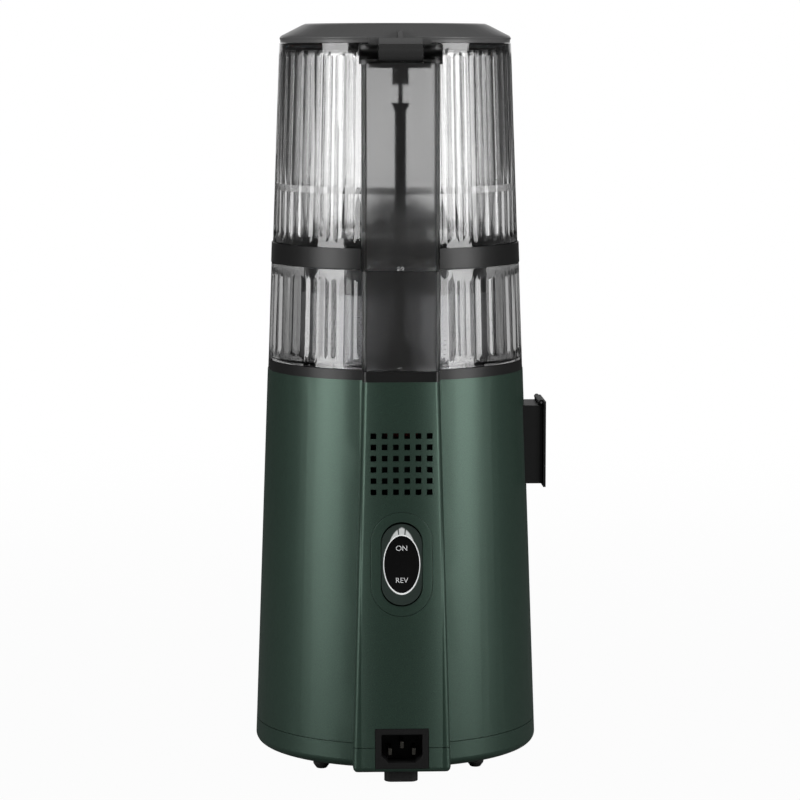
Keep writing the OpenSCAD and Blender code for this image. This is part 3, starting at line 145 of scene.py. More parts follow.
class Finish:
    """The node tree of a material or of the surround, and the shader at its end."""

    def __init__(self, tree, shader):
        self.tree = tree
        self.shader = shader

    def set(self, **sockets):
        """Sets or links sockets of the shader. In their names, _ stands for a space."""
        for name, value in sockets.items():
            plug(self.tree, self.shader.inputs[name.replace("_", " ")], value)

    def node(self, kind, settings=None, output=0, **sockets):
        """Adds a node, sets it up, fills the sockets named, and returns one of its outputs."""
        made = self.tree.nodes.new("ShaderNode" + kind)
        for name, value in (settings or {}).items():
            setattr(made, name, value)
        for name, value in sockets.items():
            by_number = name.startswith("in_")
            slot = made.inputs[int(name[3:])] if by_number else made.inputs[name.replace("_", " ")]
            plug(self.tree, slot, value)
        return Wire(self.tree, made.outputs[output])

    def place(self):
        """Object coordinates, in metres from the origin of the part."""
        return self.node("TexCoord", output="Object")

    def stretched(self, across, along, up):
        """Object coordinates stretched along each axis, for brushed and drawn marks."""
        return self.node("Mapping", Vector=self.place(), Scale=(across, along, up))

    def parts(self, vector=None):
        """The three numbers of a vector, or else of the object coordinates."""
        split = self.tree.nodes.new("ShaderNodeSeparateXYZ")
        plug(self.tree, split.inputs[0], vector or self.place())
        return [Wire(self.tree, out) for out in split.outputs]

    def noise(self, scale, detail=2.0, vector=None):
        return self.node("TexNoise", Vector=vector or self.place(), Scale=scale, Detail=detail)

    def blend(self, factor, first, second):
        """A colour between two colours."""
        return self.node(
            "Mix", {"data_type": "RGBA"}, output=2, in_0=factor, in_6=first, in_7=second
        )

    def step(self, value, low, high, to_low=0.0, to_high=1.0):
        """A smooth step of a value from one number to another."""
        return self.node(
            "MapRange", {"interpolation_type": "SMOOTHSTEP"},
            Value=value, From_Min=low, From_Max=high, To_Min=to_low, To_Max=to_high,
        )

    def bump(self, height, distance, strength=1.0, under=None):
        """Relief on a surface, or on another relief under it."""
        below = {"Normal": under} if under else {}
        return self.node("Bump", Height=height, Distance=distance, Strength=strength, **below)


def linear(red, green, blue):
    """A colour on screen, from 0 to 255, as the linear colour that shows it."""
    return tuple(
        (c / 255 / 12.92) if c / 255 <= 0.04045 else ((c / 255 + 0.055) / 1.055) ** 2.4
        for c in (red, green, blue)
    )


def material(name, **constants):
    """A new material whose shader has these constants. Its finish is returned with it."""
    made = bpy.data.materials.new(name)
    made.use_nodes = True
    finish = Finish(made.node_tree, made.node_tree.nodes["Principled BSDF"])
    finish.set(**constants)
    return made, finish


surround = bpy.data.worlds.new("surround")
surround.use_nodes = True
bpy.context.scene.world = surround
sky = Finish(surround.node_tree, surround.node_tree.nodes["Background"])
_, away, up = sky.parts(sky.node("TexCoord", output="Generated"))
behind = sky.step(away, 0.86, 0.985)
overhead = sky.step(up, 0.35, 0.95)
lit = 0.06 + 0.94 * behind + 0.12 * overhead * (1 - behind)
seen = sky.node("LightPath", output="Is Camera Ray")
sky.set(Color=(1, 1, 1), Strength=seen + lit * (1 - seen))

bpy.ops.mesh.primitive_plane_add(size=30, location=(0, 0, 0))
table = bpy.context.object
table.name = "table"
table_white, finish = material("table_white", Base_Color=(0.12, 0.12, 0.12))
finish.set(Roughness=0.85 + 0.1 * finish.noise(40))
glow = finish.node("Emission", Color=(1, 1, 1), Strength=1.0)
table_x, table_y, _ = finish.parts()
far_off = finish.step((table_x * table_x + table_y * table_y) ** 0.5, 0.25, 1.6, 0.97, 1.0)
eye = finish.node("LightPath", output="Is Camera Ray")
through = finish.node("LightPath", output="Is Transmission Ray")
hazy = far_off * eye.math("MAXIMUM", through)
matt = Wire(finish.tree, finish.shader.outputs[0])
mixed = finish.node("MixShader", in_0=hazy, in_1=matt, in_2=glow)
plug(finish.tree, finish.tree.nodes["Material Output"].inputs["Surface"], mixed)
table.data.materials.append(table_white)


def soft_box(name, degrees, distance, height, width, length, power):
    """A soft box at an angle round the juicer from the camera's side, facing its middle."""
    turn = math.radians(degrees)
    lamp = bpy.data.lights.new(name, "AREA")
    lamp.shape = "RECTANGLE"
    lamp.size = width
    lamp.size_y = length
    lamp.energy = power
    box = bpy.data.objects.new(name, lamp)
    box.location = (distance * math.sin(turn), -distance * math.cos(turn), height)
    aim = Vector((0, 0, 0.22)) - box.location
    box.rotation_euler = aim.to_track_quat("-Z", "Y").to_euler()
    bpy.context.scene.collection.objects.link(box)
    return box


soft_box("left_box", -63, 1.3, 0.52, 0.65, 1.1, 17)
soft_box("right_box", 59, 1.3, 0.52, 0.65, 1.1, 17)
ceiling = soft_box("top_box", 10, 1.1, 1.4, 0.9, 0.9, 9)
ceiling.visible_glossy = False


def smooth(piece, corner):
    """Smooths a piece between its corners, with the large faces deciding the normals."""
    bpy.ops.mesh.customdata_custom_splitnormals_clear()
    bpy.ops.object.shade_smooth_by_angle(angle=math.radians(corner))
    even = piece.modifiers.new("even", "WEIGHTED_NORMAL")
    even.keep_sharp = True
    bpy.ops.object.modifier_apply(modifier="even")


def moulding(node, edge, skin, corner=30):
    """A closed copy of a solid, in one material, which stands for that solid. Its edges are
    eased by so many millimetres where they turn by more than the corner's degrees."""
    bpy.ops.object.select_all(action="DESELECT")
    piece = bpy.data.objects.new(node + "_piece", nodes[node].data.copy())
    bpy.context.scene.collection.objects.link(piece)
    piece.select_set(True)
    bpy.context.view_layer.objects.active = piece
    bpy.ops.object.mode_set(mode="EDIT")
    bpy.ops.mesh.select_all(action="SELECT")
    bpy.ops.mesh.remove_doubles(threshold=0.002 * MM)
    bpy.ops.mesh.dissolve_limited(angle_limit=math.radians(0.4))
    bpy.ops.object.mode_set(mode="OBJECT")
    piece.data.materials.clear()
    piece.data.materials.append(skin)
    for face in piece.data.polygons:
        face.material_index = 0
    if edge:
        eased = piece.modifiers.new("eased", "BEVEL")
        eased.width = edge * MM
        eased.segments = 2
        eased.angle_limit = math.radians(corner)
        bpy.ops.object.modifier_apply(modifier="eased")
    smooth(piece, corner)
    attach(piece, nodes[node]["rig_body"])
    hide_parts(node)
    return piece


def reface(piece, skin, chosen):
    """Gives another material to the faces whose middle and normal pass a test."""
    piece.data.materials.append(skin)
    for face in piece.data.polygons:
        if chosen(face.center, face.normal):
            face.material_index = len(piece.data.materials) - 1


def green_paint():
    """Metallic paint. It shades the flat face of the spine as if it were slightly crowned."""
    made, finish = material(
        "green_paint", Coat_Weight=0.05, Coat_Roughness=0.35, Coat_IOR=1.5
    )
    flake = finish.noise(5200, 1.0)
    cloud = finish.noise(14, 2.0)
    dark = linear(42, 57, 50)
    light = linear(59, 82, 70)
    x, _, _ = finish.parts()
    off_middle = x.math("ABSOLUTE").math("MINIMUM", 24 * MM)
    crown = finish.bump(-8.5 * off_middle * off_middle, 1.0)
    finish.set(
        Base_Color=finish.blend(finish.step(flake, 0.35, 0.72), dark, light),
        Metallic=0.55 + 0.1 * flake,
        Roughness=0.36 + 0.05 * cloud,
        Normal=finish.bump(flake, 0.00002, 0.35, crown),
    )
    return made


green = green_paint()
moulding("base_tray", 0.3, green)


# ------------------------------------------------------------------ feet
# Six round rubber feet are pushed into holes of the tray, and a wide one stands under the
# spine. The rubber is matt and picks up a little dust.
def soft_rubber():
    made, finish = material("soft_rubber", Specular_IOR_Level=0.35)
    dust = finish.noise(900, 3.0)
    finish.set(
        Base_Color=finish.blend(dust, (0.010, 0.010, 0.010), (0.026, 0.026, 0.026)),
        Roughness=0.62 + 0.2 * dust,
        Normal=finish.bump(dust, 0.00004, 0.6),
    )
    return made


rubber = soft_rubber()
for name in ("rubber_feet", "rear_foot"):
    moulding(name, 0.5, rubber)


# ------------------------------------------------------------------ screws
# Zinc-plated pan-head screws with cross recesses hold the tray, the gearbox, the motor and
# the well. Their plating is bright with a faint blue and yellow cloud.
def zinc_plate():
    made, finish = material("zinc_plate", Metallic=1.0)
    cloud = finish.noise(160, 3.0)
    lathe = finish.noise(1, 1.0, finish.stretched(60, 60, 4000))
    finish.set(
        Base_Color=finish.blend(cloud, (0.50, 0.53, 0.58), (0.64, 0.62, 0.56)),
        Roughness=0.24 + 0.16 * cloud,
        Normal=finish.bump(lathe, 0.00003, 0.4),
    )
    return made


zinc = zinc_plate()
for name in ("tray_screws", "gearbox_screws", "motor_screws", "well_screws"):
    moulding(name, 0.1, zinc)


# ------------------------------------------------------------------ motor cradle
# A nylon cradle on the tray's floor carries the motor and makes room for the fan, with
# windows all round for the air. It is moulded with a light spark texture.
def black_moulding(name, level, rough, grain):
    made, finish = material(name, Specular_IOR_Level=0.28)
    spark = finish.noise(grain, 2.0)
    finish.set(
        Base_Color=finish.blend(spark, (level * 0.8,) * 3, (level * 1.2,) * 3),
        Roughness=rough + 0.08 * spark,
        Normal=finish.bump(spark, 0.00003, 0.4),
    )
    return made


nylon_black = black_moulding("nylon_black", 0.006, 0.46, 2600)
moulding("motor_cradle", 0.3, nylon_black)


# ------------------------------------------------------------------ motor
# A brushed motor in a deep-drawn steel can: two ball bearings, four ferrite magnets bonded to
# the can, and a laminated rotor with copper windings and a ground shaft. A nylon fan is
# pressed on the shaft's lower end.
def drawn_steel():
    made, finish = material("drawn_steel", Metallic=1.0)
    drawn = finish.noise(1, 3.0, finish.stretched(900, 900, 14))
    cloud = finish.noise(22, 2.0)
    finish.set(
        Base_Color=finish.blend(cloud, (0.40, 0.41, 0.42), (0.52, 0.52, 0.52)),
        Roughness=0.30 + 0.16 * drawn,
        Normal=finish.bump(drawn, 0.00002, 0.5),
    )
    return made


def ground_steel(name, low, high):
    made, finish = material(name, Metallic=1.0)
    ground = finish.noise(1, 2.0, finish.stretched(30, 30, 5200))
    finish.set(
        Base_Color=finish.blend(ground, low, high),
        Roughness=0.16 + 0.14 * ground,
        Normal=finish.bump(ground, 0.00001, 0.4),
    )
    return made


def ferrite():
    made, finish = material("ferrite", Specular_IOR_Level=0.4)
    pits = finish.noise(1400, 4.0)
    finish.set(
        Base_Color=finish.blend(pits, (0.035, 0.034, 0.034), (0.075, 0.072, 0.070)),
        Roughness=0.66 + 0.2 * pits,
        Normal=finish.bump(pits, 0.00008, 0.6),
    )
    return made


def laminations():
    """Sheets of 1 mm stacked along the shaft, with dark oxide between them."""
    made, finish = material("laminations", Specular_IOR_Level=0.5)
    _, _, height = finish.parts()
    sheet = (height * 2000).math("PINGPONG", 1.0)
    gap = finish.step(sheet, 0.02, 0.25)
    stain = finish.noise(120, 2.0)
    finish.set(
        Base_Color=finish.blend(gap, (0.05, 0.05, 0.055), (0.24, 0.24, 0.26)),
        Metallic=0.5 + 0.4 * gap,
        Roughness=0.42 + 0.2 * stain,
        Normal=finish.bump(gap, 0.00006, 0.7),
    )
    return made


def wound_copper():
    """Enamelled wire of 1.2 mm, lying side by side round the rotor's ends."""
    made, finish = material("wound_copper", Coat_Weight=0.6, Coat_Roughness=0.12)
    x, y, height = finish.parts()
    turn = y.math("ARCTAN2", x)
    strand = (height * 1700 + turn * 9).math("PINGPONG", 1.0)
    varnish = finish.noise(70, 2.0)
    finish.set(
        Base_Color=finish.blend(strand, (0.20, 0.065, 0.025), (0.62, 0.26, 0.12)),
        Metallic=0.75 + 0.2 * varnish,
        Roughness=0.26 + 0.15 * varnish,
        Normal=finish.bump(strand, 0.00025, 0.8),
    )
    return made


def natural_nylon(name, low, high):
    made, finish = material(name, Subsurface_Weight=0.06, Subsurface_Scale=0.002)
    flow = finish.noise(60, 3.0)
    fine = finish.noise(2200, 2.0)
    finish.set(
        Base_Color=finish.blend(flow, low, high),
        Roughness=0.38 + 0.1 * fine,
        Normal=finish.bump(fine, 0.00002, 0.4),
    )
    return made


drawn = drawn_steel()
ground = ground_steel("ground_steel", (0.55, 0.56, 0.57), (0.68, 0.68, 0.69))
copper = wound_copper()
nylon = natural_nylon("natural_nylon", (0.66, 0.65, 0.61), (0.76, 0.75, 0.71))
moulding("motor_can", 0.4, drawn)
moulding("field_magnets", 0.4, ferrite())
moulding("rotor_shaft", 0.3, ground)
moulding("cooling_fan", 0.2, nylon)

end_turns = 7 * MM
core_low, core_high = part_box("rotor_core")
core = moulding("rotor_core", 0.2, laminations())
reface(
    core, copper,
    lambda middle, normal: middle.z < core_low.z + end_turns - 0.3 * MM
    or middle.z > core_high.z - end_turns + 0.3 * MM,
)

bearings = moulding("motor_bearings", 0.25, ground)
on_axis = 0.3 * MM
reface(
    bearings, black_moulding("bearing_shield", 0.03, 0.35, 1800),
    lambda middle, normal: abs(normal.z) > 0.9 and middle.xy.length < on_axis,
)
moulding("output_bearing", 0.25, ground)


# ------------------------------------------------------------------ gearbox
# One planetary stage: a steel sun on the motor's shaft, three acetal planets on the pins of
# the carrier, and a sintered ring gear between a cast zinc case and its cover.
def cast_alloy():
    made, finish = material("cast_alloy", Metallic=0.9)
    skin = finish.noise(700, 3.0)
    cloud = finish.noise(30, 2.0)
    finish.set(
        Base_Color=finish.blend(cloud, (0.20, 0.205, 0.21), (0.30, 0.30, 0.31)),
        Roughness=0.44 + 0.16 * skin,
        Normal=finish.bump(skin, 0.00006, 0.6),
    )
    return made


def sintered_steel():
    made, finish = material("sintered_steel", Metallic=1.0)
    pores = finish.noise(3000, 4.0)
    finish.set(
        Base_Color=finish.blend(pores, (0.16, 0.16, 0.165), (0.34, 0.34, 0.35)),
        Roughness=0.40 + 0.2 * pores,
        Normal=finish.bump(pores, 0.00004, 0.6),
    )
    return made


alloy = cast_alloy()
acetal = natural_nylon("acetal", (0.80, 0.80, 0.78), (0.88, 0.88, 0.87))
moulding("gearbox_case", 0.3, alloy)
moulding("gearbox_cover", 0.3, alloy)
moulding("ring_gear", 0.0, sintered_steel())
moulding("sun_gear", 0.0, ground)
for name in ("planet_gear_1", "planet_gear_2", "planet_gear_3"):
    moulding(name, 0.0, acetal)
moulding("output_shaft", 0.3, ground)


# ------------------------------------------------------------------ control board
# A single-sided board on four posts of the tray: green solder mask, a black relay, a blue
# sleeved capacitor, a yellow choke and a white terminal block, all soldered in by hand.
def solder_mask():
    made, finish = material("solder_mask", Coat_Weight=0.5, Coat_Roughness=0.1)
    _, y, _ = finish.parts()
    lane = (y * 420 + 0.35 * finish.noise(90, 0.0)).math("PINGPONG", 1.0)
    track = finish.step(lane, 0.42, 0.5)
    finish.set(
        Base_Color=finish.blend(track, (0.012, 0.10, 0.035), (0.03, 0.19, 0.07)),
        Roughness=0.34 + 0.1 * track,
        Normal=finish.bump(track, 0.00004, 0.6),
    )
    return made


def component(name, low, high):
    """Moulded or printed component bodies, with a fine satin skin."""
    made, finish = material(name, Specular_IOR_Level=0.5)
    skin = finish.noise(1800, 2.0)
    finish.set(
        Base_Color=finish.blend(skin, low, high),
        Roughness=0.32 + 0.12 * skin,
        Normal=finish.bump(skin, 0.00002, 0.5),
    )
    return made


board_low, board_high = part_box("control_board")
board_top = board_low.z + 1.7 * MM
board = moulding("control_board", 0.15, solder_mask())
inner_end = (board_low.x + board_high.x) / 2 + 3 * MM
for label, low, high, left, front in (
    ("relay_black", (0.012, 0.012, 0.013), (0.022, 0.022, 0.024), True, True),
    ("sleeve_blue", (0.012, 0.05, 0.30), (0.02, 0.08, 0.38), True, False),
    ("choke_yellow", (0.55, 0.36, 0.02), (0.70, 0.48, 0.04), False, True),
    ("terminal_white", (0.70, 0.70, 0.68), (0.82, 0.82, 0.80), False, False),
):
    reface(
        board, component(label, low, high),
        lambda middle, normal: middle.z > board_top
        and (middle.x < inner_end) == left
        and (middle.y < 1 * MM) == front,
    )


# ------------------------------------------------------------------ main housing
# The tapered body, moulded in one piece with its raked spine and painted like the tray. It
# drops over the tray's lip, and the screws come up into its four inner posts.
moulding("main_housing", 0.3, green)


# ------------------------------------------------------------------ rocker switch
# A black switch box snaps in behind the spine. Its button is a chromed dish that rocks on two
# trunnions, with a gloss black inset printed with the words ON and REV. A painted ring round
# it covers the housing's edge.
rocker_z = 131.9 * MM
inset_half_width = 10.4 * MM
inset_half_height = 17 * MM


def chrome_painted_light():
    """Chrome, darkened to a green-grey as painted reflection. A painted highlight runs round
    the inset, and three painted highlights stand over it, where the dish is even.
    """
    made, finish = material("chrome_painted_light")
    haze = finish.noise(420, 3.0)
    x, _, height = finish.parts()
    out = x.math("ABSOLUTE")
    rise = height - rocker_z
    ring = ((out / inset_half_width) ** 2 + (rise / inset_half_height) ** 2) ** 0.5
    # Painted highlights: a thin ring round the inset, and three fan-shaped patches above it.
    rim = finish.step(ring, 0.955, 0.985) * (1 - finish.step(ring, 1.03, 1.065))
    slope = out / rise.math("MAXIMUM", 1 * MM)
    facet_highlight_gap = finish.step(slope, 0.075, 0.095) * (1 - finish.step(slope, 0.11, 0.13))
    above = finish.step(rise, 12 * MM, 14 * MM) * finish.step(ring, 1.0, 1.03)
    facet_highlights = above * (1 - finish.step(ring + 0.5 * slope, 1.26, 1.33)) * (1 - facet_highlight_gap)
    bright = rim.math("MAXIMUM", 0.75 * facet_highlights)
    finish.set(
        # The dark green-grey is a painted reflection. Under the painted highlights the colour
        # turns near white and less metallic.
        Base_Color=finish.blend(bright, (0.045, 0.062, 0.054), (0.93, 0.95, 0.94)),
        Metallic=0.6 - 0.4 * bright,
        Roughness=0.26 + 0.06 * haze,
        Normal=finish.bump(haze, 0.00001, 0.3),
    )
    return made


def gloss_black():
    made, finish = material(
        "gloss_black", Coat_Weight=0.15, Coat_Roughness=0.05, Specular_IOR_Level=0.25
    )
    swirl = finish.noise(600, 3.0)
    finish.set(
        Base_Color=finish.blend(swirl, (0.002, 0.002, 0.002), (0.004, 0.004, 0.004)),
        Roughness=0.14 + 0.08 * swirl,
        Normal=finish.bump(swirl, 0.00001, 0.3),
    )
    return made


def white_ink():
    made, finish = material("white_ink", Specular_IOR_Level=0.4)
    worn = finish.noise(3000, 3.0)
    finish.set(
        Base_Color=finish.blend(worn, (0.46, 0.47, 0.47), (0.72, 0.73, 0.73)),
        Roughness=0.5 + 0.1 * worn,
        Normal=finish.bump(worn, 0.00001, 0.3),
    )
    return made


spine_foot_y, spine_foot_z = -96 * MM, 8 * MM
spine_top_y, spine_top_z = -79.5 * MM, 436.1 * MM
rake = math.atan((spine_top_y - spine_foot_y) / (spine_top_z - spine_foot_z))
face_y = spine_foot_y + math.tan(rake) * (rocker_z - spine_foot_z)
on_spine = (
    Matrix.Translation((0, face_y, rocker_z)) @ Matrix.Rotation(math.pi / 2 - rake, 4, "X")
)
ink = white_ink()
word_size = 4.4 * MM
inset_depth = 0.37 * MM


def printed(word, up):
    """A word printed on the rocker's inset, at a height along the spine from its middle."""
    bpy.ops.object.select_all(action="DESELECT")
    bpy.ops.object.text_add(location=(0, 0, 0))
    mark = bpy.context.object
    mark.name = "mark_" + word.lower()
    mark.data.body = word
    mark.data.size = word_size
    mark.data.align_x = "CENTER"
    mark.data.align_y = "CENTER"
    mark.data.extrude = 0.03 * MM
    mark.data.offset = -0.04 * MM
    bpy.ops.object.convert(target="MESH")
    mark = bpy.context.object
    mark.matrix_world = on_spine @ Matrix.Translation((0, up, -inset_depth))
    bpy.ops.object.transform_apply(location=True, rotation=True, scale=True)
    bpy.ops.object.mode_set(mode="EDIT")
    bpy.ops.mesh.select_all(action="SELECT")
    bpy.ops.mesh.remove_doubles(threshold=0.001 * MM)
    bpy.ops.object.mode_set(mode="OBJECT")
    mark.data.materials.append(ink)
    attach(mark, "rocker")


moulding("switch_trim", 0.3, green)
box = moulding("switch_box", 0.2, black_moulding("box_black", 0.016, 0.4, 2200))
_, box_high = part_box("switch_box")
tag_length = 9.3 * MM
reface(box, ground, lambda middle, normal: middle.y > box_high.y - tag_length)
moulding("rocker_button", 0.8, chrome_painted_light())
moulding("rocker_inlay", 0.15, gloss_black())
printed("ON", 9.4 * MM)
printed("REV", -9.6 * MM)


# ------------------------------------------------------------------ mains inlet
# A three-pole inlet moulded in black thermoset, clipped into the foot of the spine. Its three
# flat pins are nickel-plated brass, riveted to tags at the back.
def nickel_painted_shade():
    made, finish = material("nickel_painted_shade", Metallic=1.0)
    rolled = finish.noise(1, 2.0, finish.stretched(3000, 200, 200))
    finish.set(
        # The nickel is darkened far below its own colour: a painted shade for the inlet's recess.
        Base_Color=finish.blend(rolled, (0.10, 0.095, 0.085), (0.18, 0.17, 0.15)),
        Roughness=0.20 + 0.12 * rolled,
        Normal=finish.bump(rolled, 0.00001, 0.4),
    )
    return made


moulding("power_inlet", 0.3, black_moulding("thermoset", 0.004, 0.5, 1500))
moulding("inlet_pins", 0.25, nickel_painted_shade())


# ------------------------------------------------------------------ well and shaft seal
# A black well hangs in the housing and takes the bowl. Its collar shows between the two, and
# a silicone seal round the drive shaft keeps juice out of the gearbox.
def silicone(name, low, high):
    made, finish = material(name, Subsurface_Weight=0.1, Subsurface_Scale=0.002)
    skin = finish.noise(500, 3.0)
    finish.set(
        Base_Color=finish.blend(skin, low, high),
        Roughness=0.48 + 0.14 * skin,
        Normal=finish.bump(skin, 0.00003, 0.5),
    )
    return made


satin_black = black_moulding("satin_black", 0.008, 0.34, 2600)
grey_silicone = silicone("grey_silicone", (0.16, 0.16, 0.165), (0.24, 0.24, 0.245))
moulding("bowl_well", 0.3, satin_black)
moulding("shaft_seal", 0.3, grey_silicone)


# ------------------------------------------------------------------ interlock in the base
# A red microswitch in a black bracket, worked by a steel plunger. A coil spring of drawn wire
# lifts the plunger when the lid is open.
bracket = moulding("microswitch", 0.2, nylon_black)
switch_red = component("switch_red", (0.34, 0.02, 0.015), (0.46, 0.03, 0.02))
switch_low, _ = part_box("microswitch")
case_half_width = 10.2 * MM
case_foot, case_top = switch_low.z + 1.9 * MM, switch_low.z + 14.1 * MM
reface(
    bracket, switch_red,
    lambda middle, normal: abs(middle.x) < case_half_width
    and case_foot < middle.z < case_top,
)
blackened = ground_steel("blackened_steel", (0.020, 0.020, 0.021), (0.032, 0.032, 0.033))
moulding("interlock_plunger", 0.2, blackened)
moulding("plunger_spring", 0.0, drawn)


# ------------------------------------------------------------------ juice spout and its cap
# The spout is a short black tube through the housing, with a flange outside. A sprung cap on
# a steel pin closes its mouth, and is lifted by a small tab.
moulding("juice_spout", 0.3, nylon_black)
moulding("spout_cap", 0.4, nylon_black)
moulding("cap_pin", 0.2, ground)


# ------------------------------------------------------------------ pulp outlet and its door
# A black duct pushed through the housing's side. A thin door hangs on a steel pin over its
# mouth, and the pulp pushes it open.
moulding("pulp_outlet", 0.4, nylon_black)
moulding("outlet_door", 0.4, nylon_black)
moulding("door_pin", 0.2, ground)


# ------------------------------------------------------------------ bowl
# The bowl is moulded in clear plastic with flutes all round, except at its spine, where a
# plain window shows the pin's guide tube. It sits in the well and lifts out.
window_edge = 20.2 * MM


def clear_plastic(
    name, tint, slanted, rough=0.02, gloss=1.0, window=False, changes=(), ior=1.49
):
    """Tinted clear plastic, darker where it is seen at a slant and more of it lies behind.
    Beyond a window's edges, where its walls stand end-on, it is darker still: a painted shade.
    The tint can change with height: between two heights, it turns into the tint above them."""
    made, finish = material(
        name, Transmission_Weight=1.0, IOR=ior, Specular_IOR_Level=0.25,
        Specular_Tint=(gloss, gloss, gloss),
    )
    flow = finish.noise(30, 2.0)
    x, _, height = finish.parts()
    tinted = (tint,) * 3
    for start, end, upper in changes:
        raised = finish.step(height, start, end)
        tinted = finish.blend(raised, tinted, (upper,) * 3)
    slant = finish.node("LayerWeight", output=1, Blend=0.5)
    tinted = finish.blend(slant, tinted, (slanted,) * 3)
    if window:
        # Painted shade: beyond the window's edges the tint turns nearly black, for the dark lines
        # of its walls seen end-on.
        side = finish.step(x.math("ABSOLUTE"), window_edge - 0.3 * MM, window_edge + 0.3 * MM)
        tinted = finish.blend(side, tinted, (0.03, 0.03, 0.03))
    finish.set(
        Base_Color=tinted,
        Roughness=rough + 0.01 * flow,
        Normal=finish.bump(flow, 0.00005, 0.1),
    )
    return made


body_radius, body_radius_z = 85.9 * MM, 22.8 * MM
taper = math.atan(7.8 / 216.2)
first_flute = math.radians(22)
flute_pitch = math.radians(7.2)


def flutes(piece, width, depth, low, high, inset):
    """Cuts upright hollows with rounded ends round a piece, from one side of its spine to the
    other. The piece's skin stands in from the tapered skin of the body by the inset."""
    middle = (low + high) / 2
    skin = body_radius - math.tan(taper) * (middle - body_radius_z) - inset
    radius = (width ** 2 / 8 + depth ** 2 / 2) / depth
    round_body = 2 * math.pi - 2 * first_flute
    bpy.ops.object.select_all(action="DESELECT")
    bpy.ops.mesh.primitive_cylinder_add(
        vertices=40, radius=radius, depth=high - low, end_fill_type="NGON"
    )
    cutter = bpy.context.object
    bpy.ops.object.mode_set(mode="EDIT")
    for end in (1, -1):
        bpy.ops.mesh.select_all(action="DESELECT")
        shape = bmesh.from_edit_mesh(cutter.data)
        for face in shape.faces:
            face.select_set(abs(face.normal.z - end) < 0.01)
        bmesh.update_edit_mesh(cutter.data)
        for near in (0, math.pi / 8, math.pi / 4):
            far = near + math.pi / 8
            rise = radius * (math.sin(far) - math.sin(near)) * end
            shrink = math.cos(far) / math.cos(near)
            bpy.ops.mesh.extrude_region_move(TRANSFORM_OT_translate={"value": (0, 0, rise)})
            bpy.ops.transform.resize(value=(shrink, shrink, 1), center_override=(0, 0, 0))
    bpy.ops.mesh.select_all(action="SELECT")
    bpy.ops.transform.rotate(value=taper, orient_axis="Y", center_override=(0, 0, 0))
    bpy.ops.transform.translate(value=(skin - depth + radius, 0, middle))
    bpy.ops.mesh.bisect(
        plane_co=(skin + 0.05 * depth, 0, middle), plane_no=(math.cos(taper), 0, math.sin(taper)),
        use_fill=True, clear_outer=True,
    )
    bpy.ops.object.mode_set(mode="OBJECT")
    cutter.data.transform(Matrix.Rotation(first_flute - math.pi / 2, 4, "Z"))
    bpy.ops.object.mode_set(mode="EDIT")
    bpy.ops.mesh.select_all(action="SELECT")
    bpy.ops.mesh.spin(
        steps=round(round_body / flute_pitch), dupli=True, angle=-round_body,
        center=(0, 0, 0), axis=(0, 0, 1),
    )
    bpy.ops.mesh.select_all(action="SELECT")
    bpy.ops.mesh.normals_make_consistent(inside=False)
    bpy.ops.object.mode_set(mode="OBJECT")
    cut = piece.modifiers.new("flutes", "BOOLEAN")
    cut.operation = "DIFFERENCE"
    cut.solver = "EXACT"
    cut.object = cutter
    bpy.ops.object.select_all(action="DESELECT")
    piece.select_set(True)
    bpy.context.view_layer.objects.active = piece
    bpy.ops.object.modifier_apply(modifier="flutes")
    bpy.data.objects.remove(cutter)
    smooth(piece, 25)


def reface_spine(piece, window, sides, window_y, sides_y):
    """Gives the spine's flat window one material, and its rounded sides another. Faces in
    front of window_y or sides_y keep theirs, and so do those at the hinge."""
    hinge_z = 428 * MM
    reface(
        piece, window,
        lambda middle, normal: normal.y < -0.98 and abs(middle.x) < 22 * MM
        and middle.y < window_y and middle.z < hinge_z,
    )
    reface(
        piece, sides,
        lambda middle, normal: abs(normal.x) > 0.2 and 18 * MM < abs(middle.x) < 25 * MM
        and middle.y < sides_y and middle.z < hinge_z,
    )


water_clear = clear_plastic("water_clear", 0.64, 0.08)
frosted_grey = clear_plastic("frosted_grey", 0.26, 0.15, 0.4, window=True)
# A nearly black smoke for the spine's rounded sides and the hopper's hinge: a painted shade for
# the dark lines these walls show.
smoke_painted_shade = clear_plastic("smoke_painted_shade", 0.06, 0.03, 0.3, gloss=0.05)
bowl = moulding("bowl", 0.0, water_clear)
reface_spine(bowl, frosted_grey, smoke_painted_shade, -80 * MM, -78 * MM)
flutes(bowl, 8.4 * MM, 0.7 * MM, 253 * MM, 297 * MM, 0.3 * MM)
moulding("bowl_seal", 0.3, grey_silicone)
moulding("bowl_tube", 0.2, nylon_black)
moulding("bowl_pin", 0.3, blackened)


# ------------------------------------------------------------------ strainer
# A basket of perforated stainless steel, rolled into a sleeve and moulded into a frame of
# dark resin with eight ribs. It stands on the bowl's floor round the auger.
def perforated_steel():
    """Holes of 0.8 mm in staggered rows, 1.6 mm apart. Distances here are in millimetres."""
    made, finish = material("perforated_steel", Metallic=1.0)
    columns, column_pitch, row_pitch = 210, 1.6, 1.4
    x, y, height = finish.parts()
    row = height / (row_pitch * MM)
    around = y.math("ARCTAN2", x) * (columns / (2 * math.pi)) + columns
    column = around + row.math("FLOOR").math("MODULO", 2.0) * 0.5
    off_x = (column.math("FRACT") - 0.5) * column_pitch
    off_z = (row.math("FRACT") - 0.5) * row_pitch
    away = (off_x * off_x + off_z * off_z) ** 0.5
    solid = finish.step(away, 0.36, 0.46)
    rolled = finish.noise(1, 2.0, finish.stretched(40, 40, 1800))
    finish.set(
        Base_Color=finish.blend(rolled, (0.24, 0.24, 0.25), (0.31, 0.31, 0.32)),
        Roughness=0.38 + 0.1 * rolled,
        Alpha=solid,
        Normal=finish.bump(solid, 0.00006, 0.6),
    )
    return made


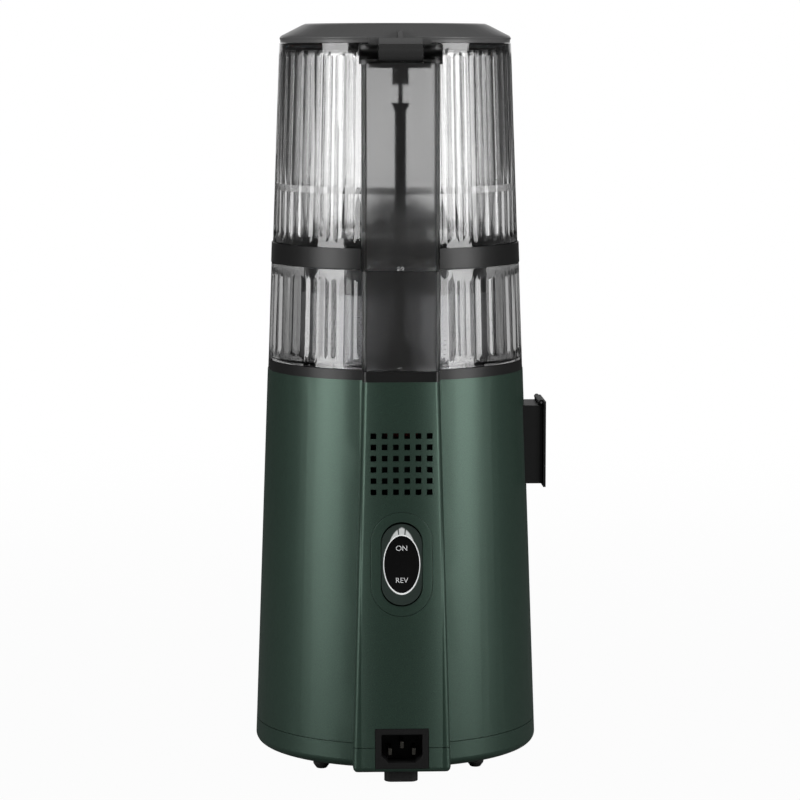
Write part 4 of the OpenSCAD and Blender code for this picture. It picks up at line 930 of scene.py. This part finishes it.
dark_resin = component("dark_resin", (0.020, 0.020, 0.022), (0.034, 0.034, 0.037))
moulding("strainer_frame", 0.3, dark_resin)
moulding("strainer_sleeve", 0.0, perforated_steel())


# ------------------------------------------------------------------ auger
# The auger is moulded in dark, slightly glossy resin. It stands on the drive hexagon, turns in
# the strainer, and its tip reaches up through the hopper's throat.
auger_resin = component("auger_resin", (0.026, 0.027, 0.029), (0.042, 0.043, 0.046))
moulding("auger", 0.4, auger_resin)


# ------------------------------------------------------------------ hopper
# The hopper is moulded in smoke-tinted clear plastic with flutes like the bowl's, and a plain
# frosted window down its spine, behind which the interlock's pin runs in a black tube. Its
# funnel is a little clouded, and a black band is pressed on its foot.
funnel_foot, funnel_top = 318 * MM, 353 * MM
rim_foot = 422 * MM
smoke = clear_plastic(
    "smoke", 0.25, 0.03,
    changes=[(319 * MM, 323.5 * MM, 0.84), (429.5 * MM, 431.5 * MM, 0.36)],
)
clouded_smoke = clear_plastic("clouded_smoke", 0.97, 0.90, 0.25, ior=1.08)
frosted_smoke = clear_plastic(
    "frosted_smoke", 0.96, 0.18, 0.34, window=True, changes=[(328 * MM, 358 * MM, 0.27)]
)
hopper = moulding("hopper", 0.0, smoke)
reface_spine(hopper, frosted_smoke, smoke_painted_shade, -78 * MM, -72 * MM)
reface(
    hopper, clouded_smoke,
    lambda middle, normal: 0.2 < abs(normal.z) < 0.95 and funnel_foot < middle.z < funnel_top,
)
# Painted shade: the hopper's rim at the hinge gets the nearly black smoke.
reface(
    hopper, smoke_painted_shade,
    lambda middle, normal: middle.z > rim_foot and middle.y < -70 * MM
    and abs(middle.x) < 26 * MM,
)
flutes(hopper, 8.2 * MM, 0.9 * MM, 323.7 * MM, 428.4 * MM, 0.8 * MM)
moulding("hopper_band", 0.3, satin_black)
moulding("hopper_seal", 0.3, grey_silicone)
moulding("hopper_tube", 0.2, nylon_black)
moulding("hopper_pin", 0.3, blackened)
moulding("hinge_pin", 0.3, ground)


# ------------------------------------------------------------------ lid
# The lid is moulded in dark smoke plastic, and turns on a steel pin through its polished
# middle knuckle. A boss under its arm presses the interlock pin, and a seal runs round its
# skirt.
lid = moulding("lid", 0.3, black_moulding("lid_smoke", 0.072, 0.26, 1800))
knuckle_y, knuckle_top = -75 * MM, 435.5 * MM
knuckle_half_width = 14 * MM
# The middle knuckle is polished, and its colour is darker than the lid's as painted shade.
reface(
    lid, black_moulding("polished_smoke_painted_shade", 0.022, 0.1, 1800),
    lambda middle, normal: middle.y < knuckle_y and middle.z < knuckle_top
    and abs(middle.x) < knuckle_half_width,
)
moulding("lid_seal", 0.2, grey_silicone)
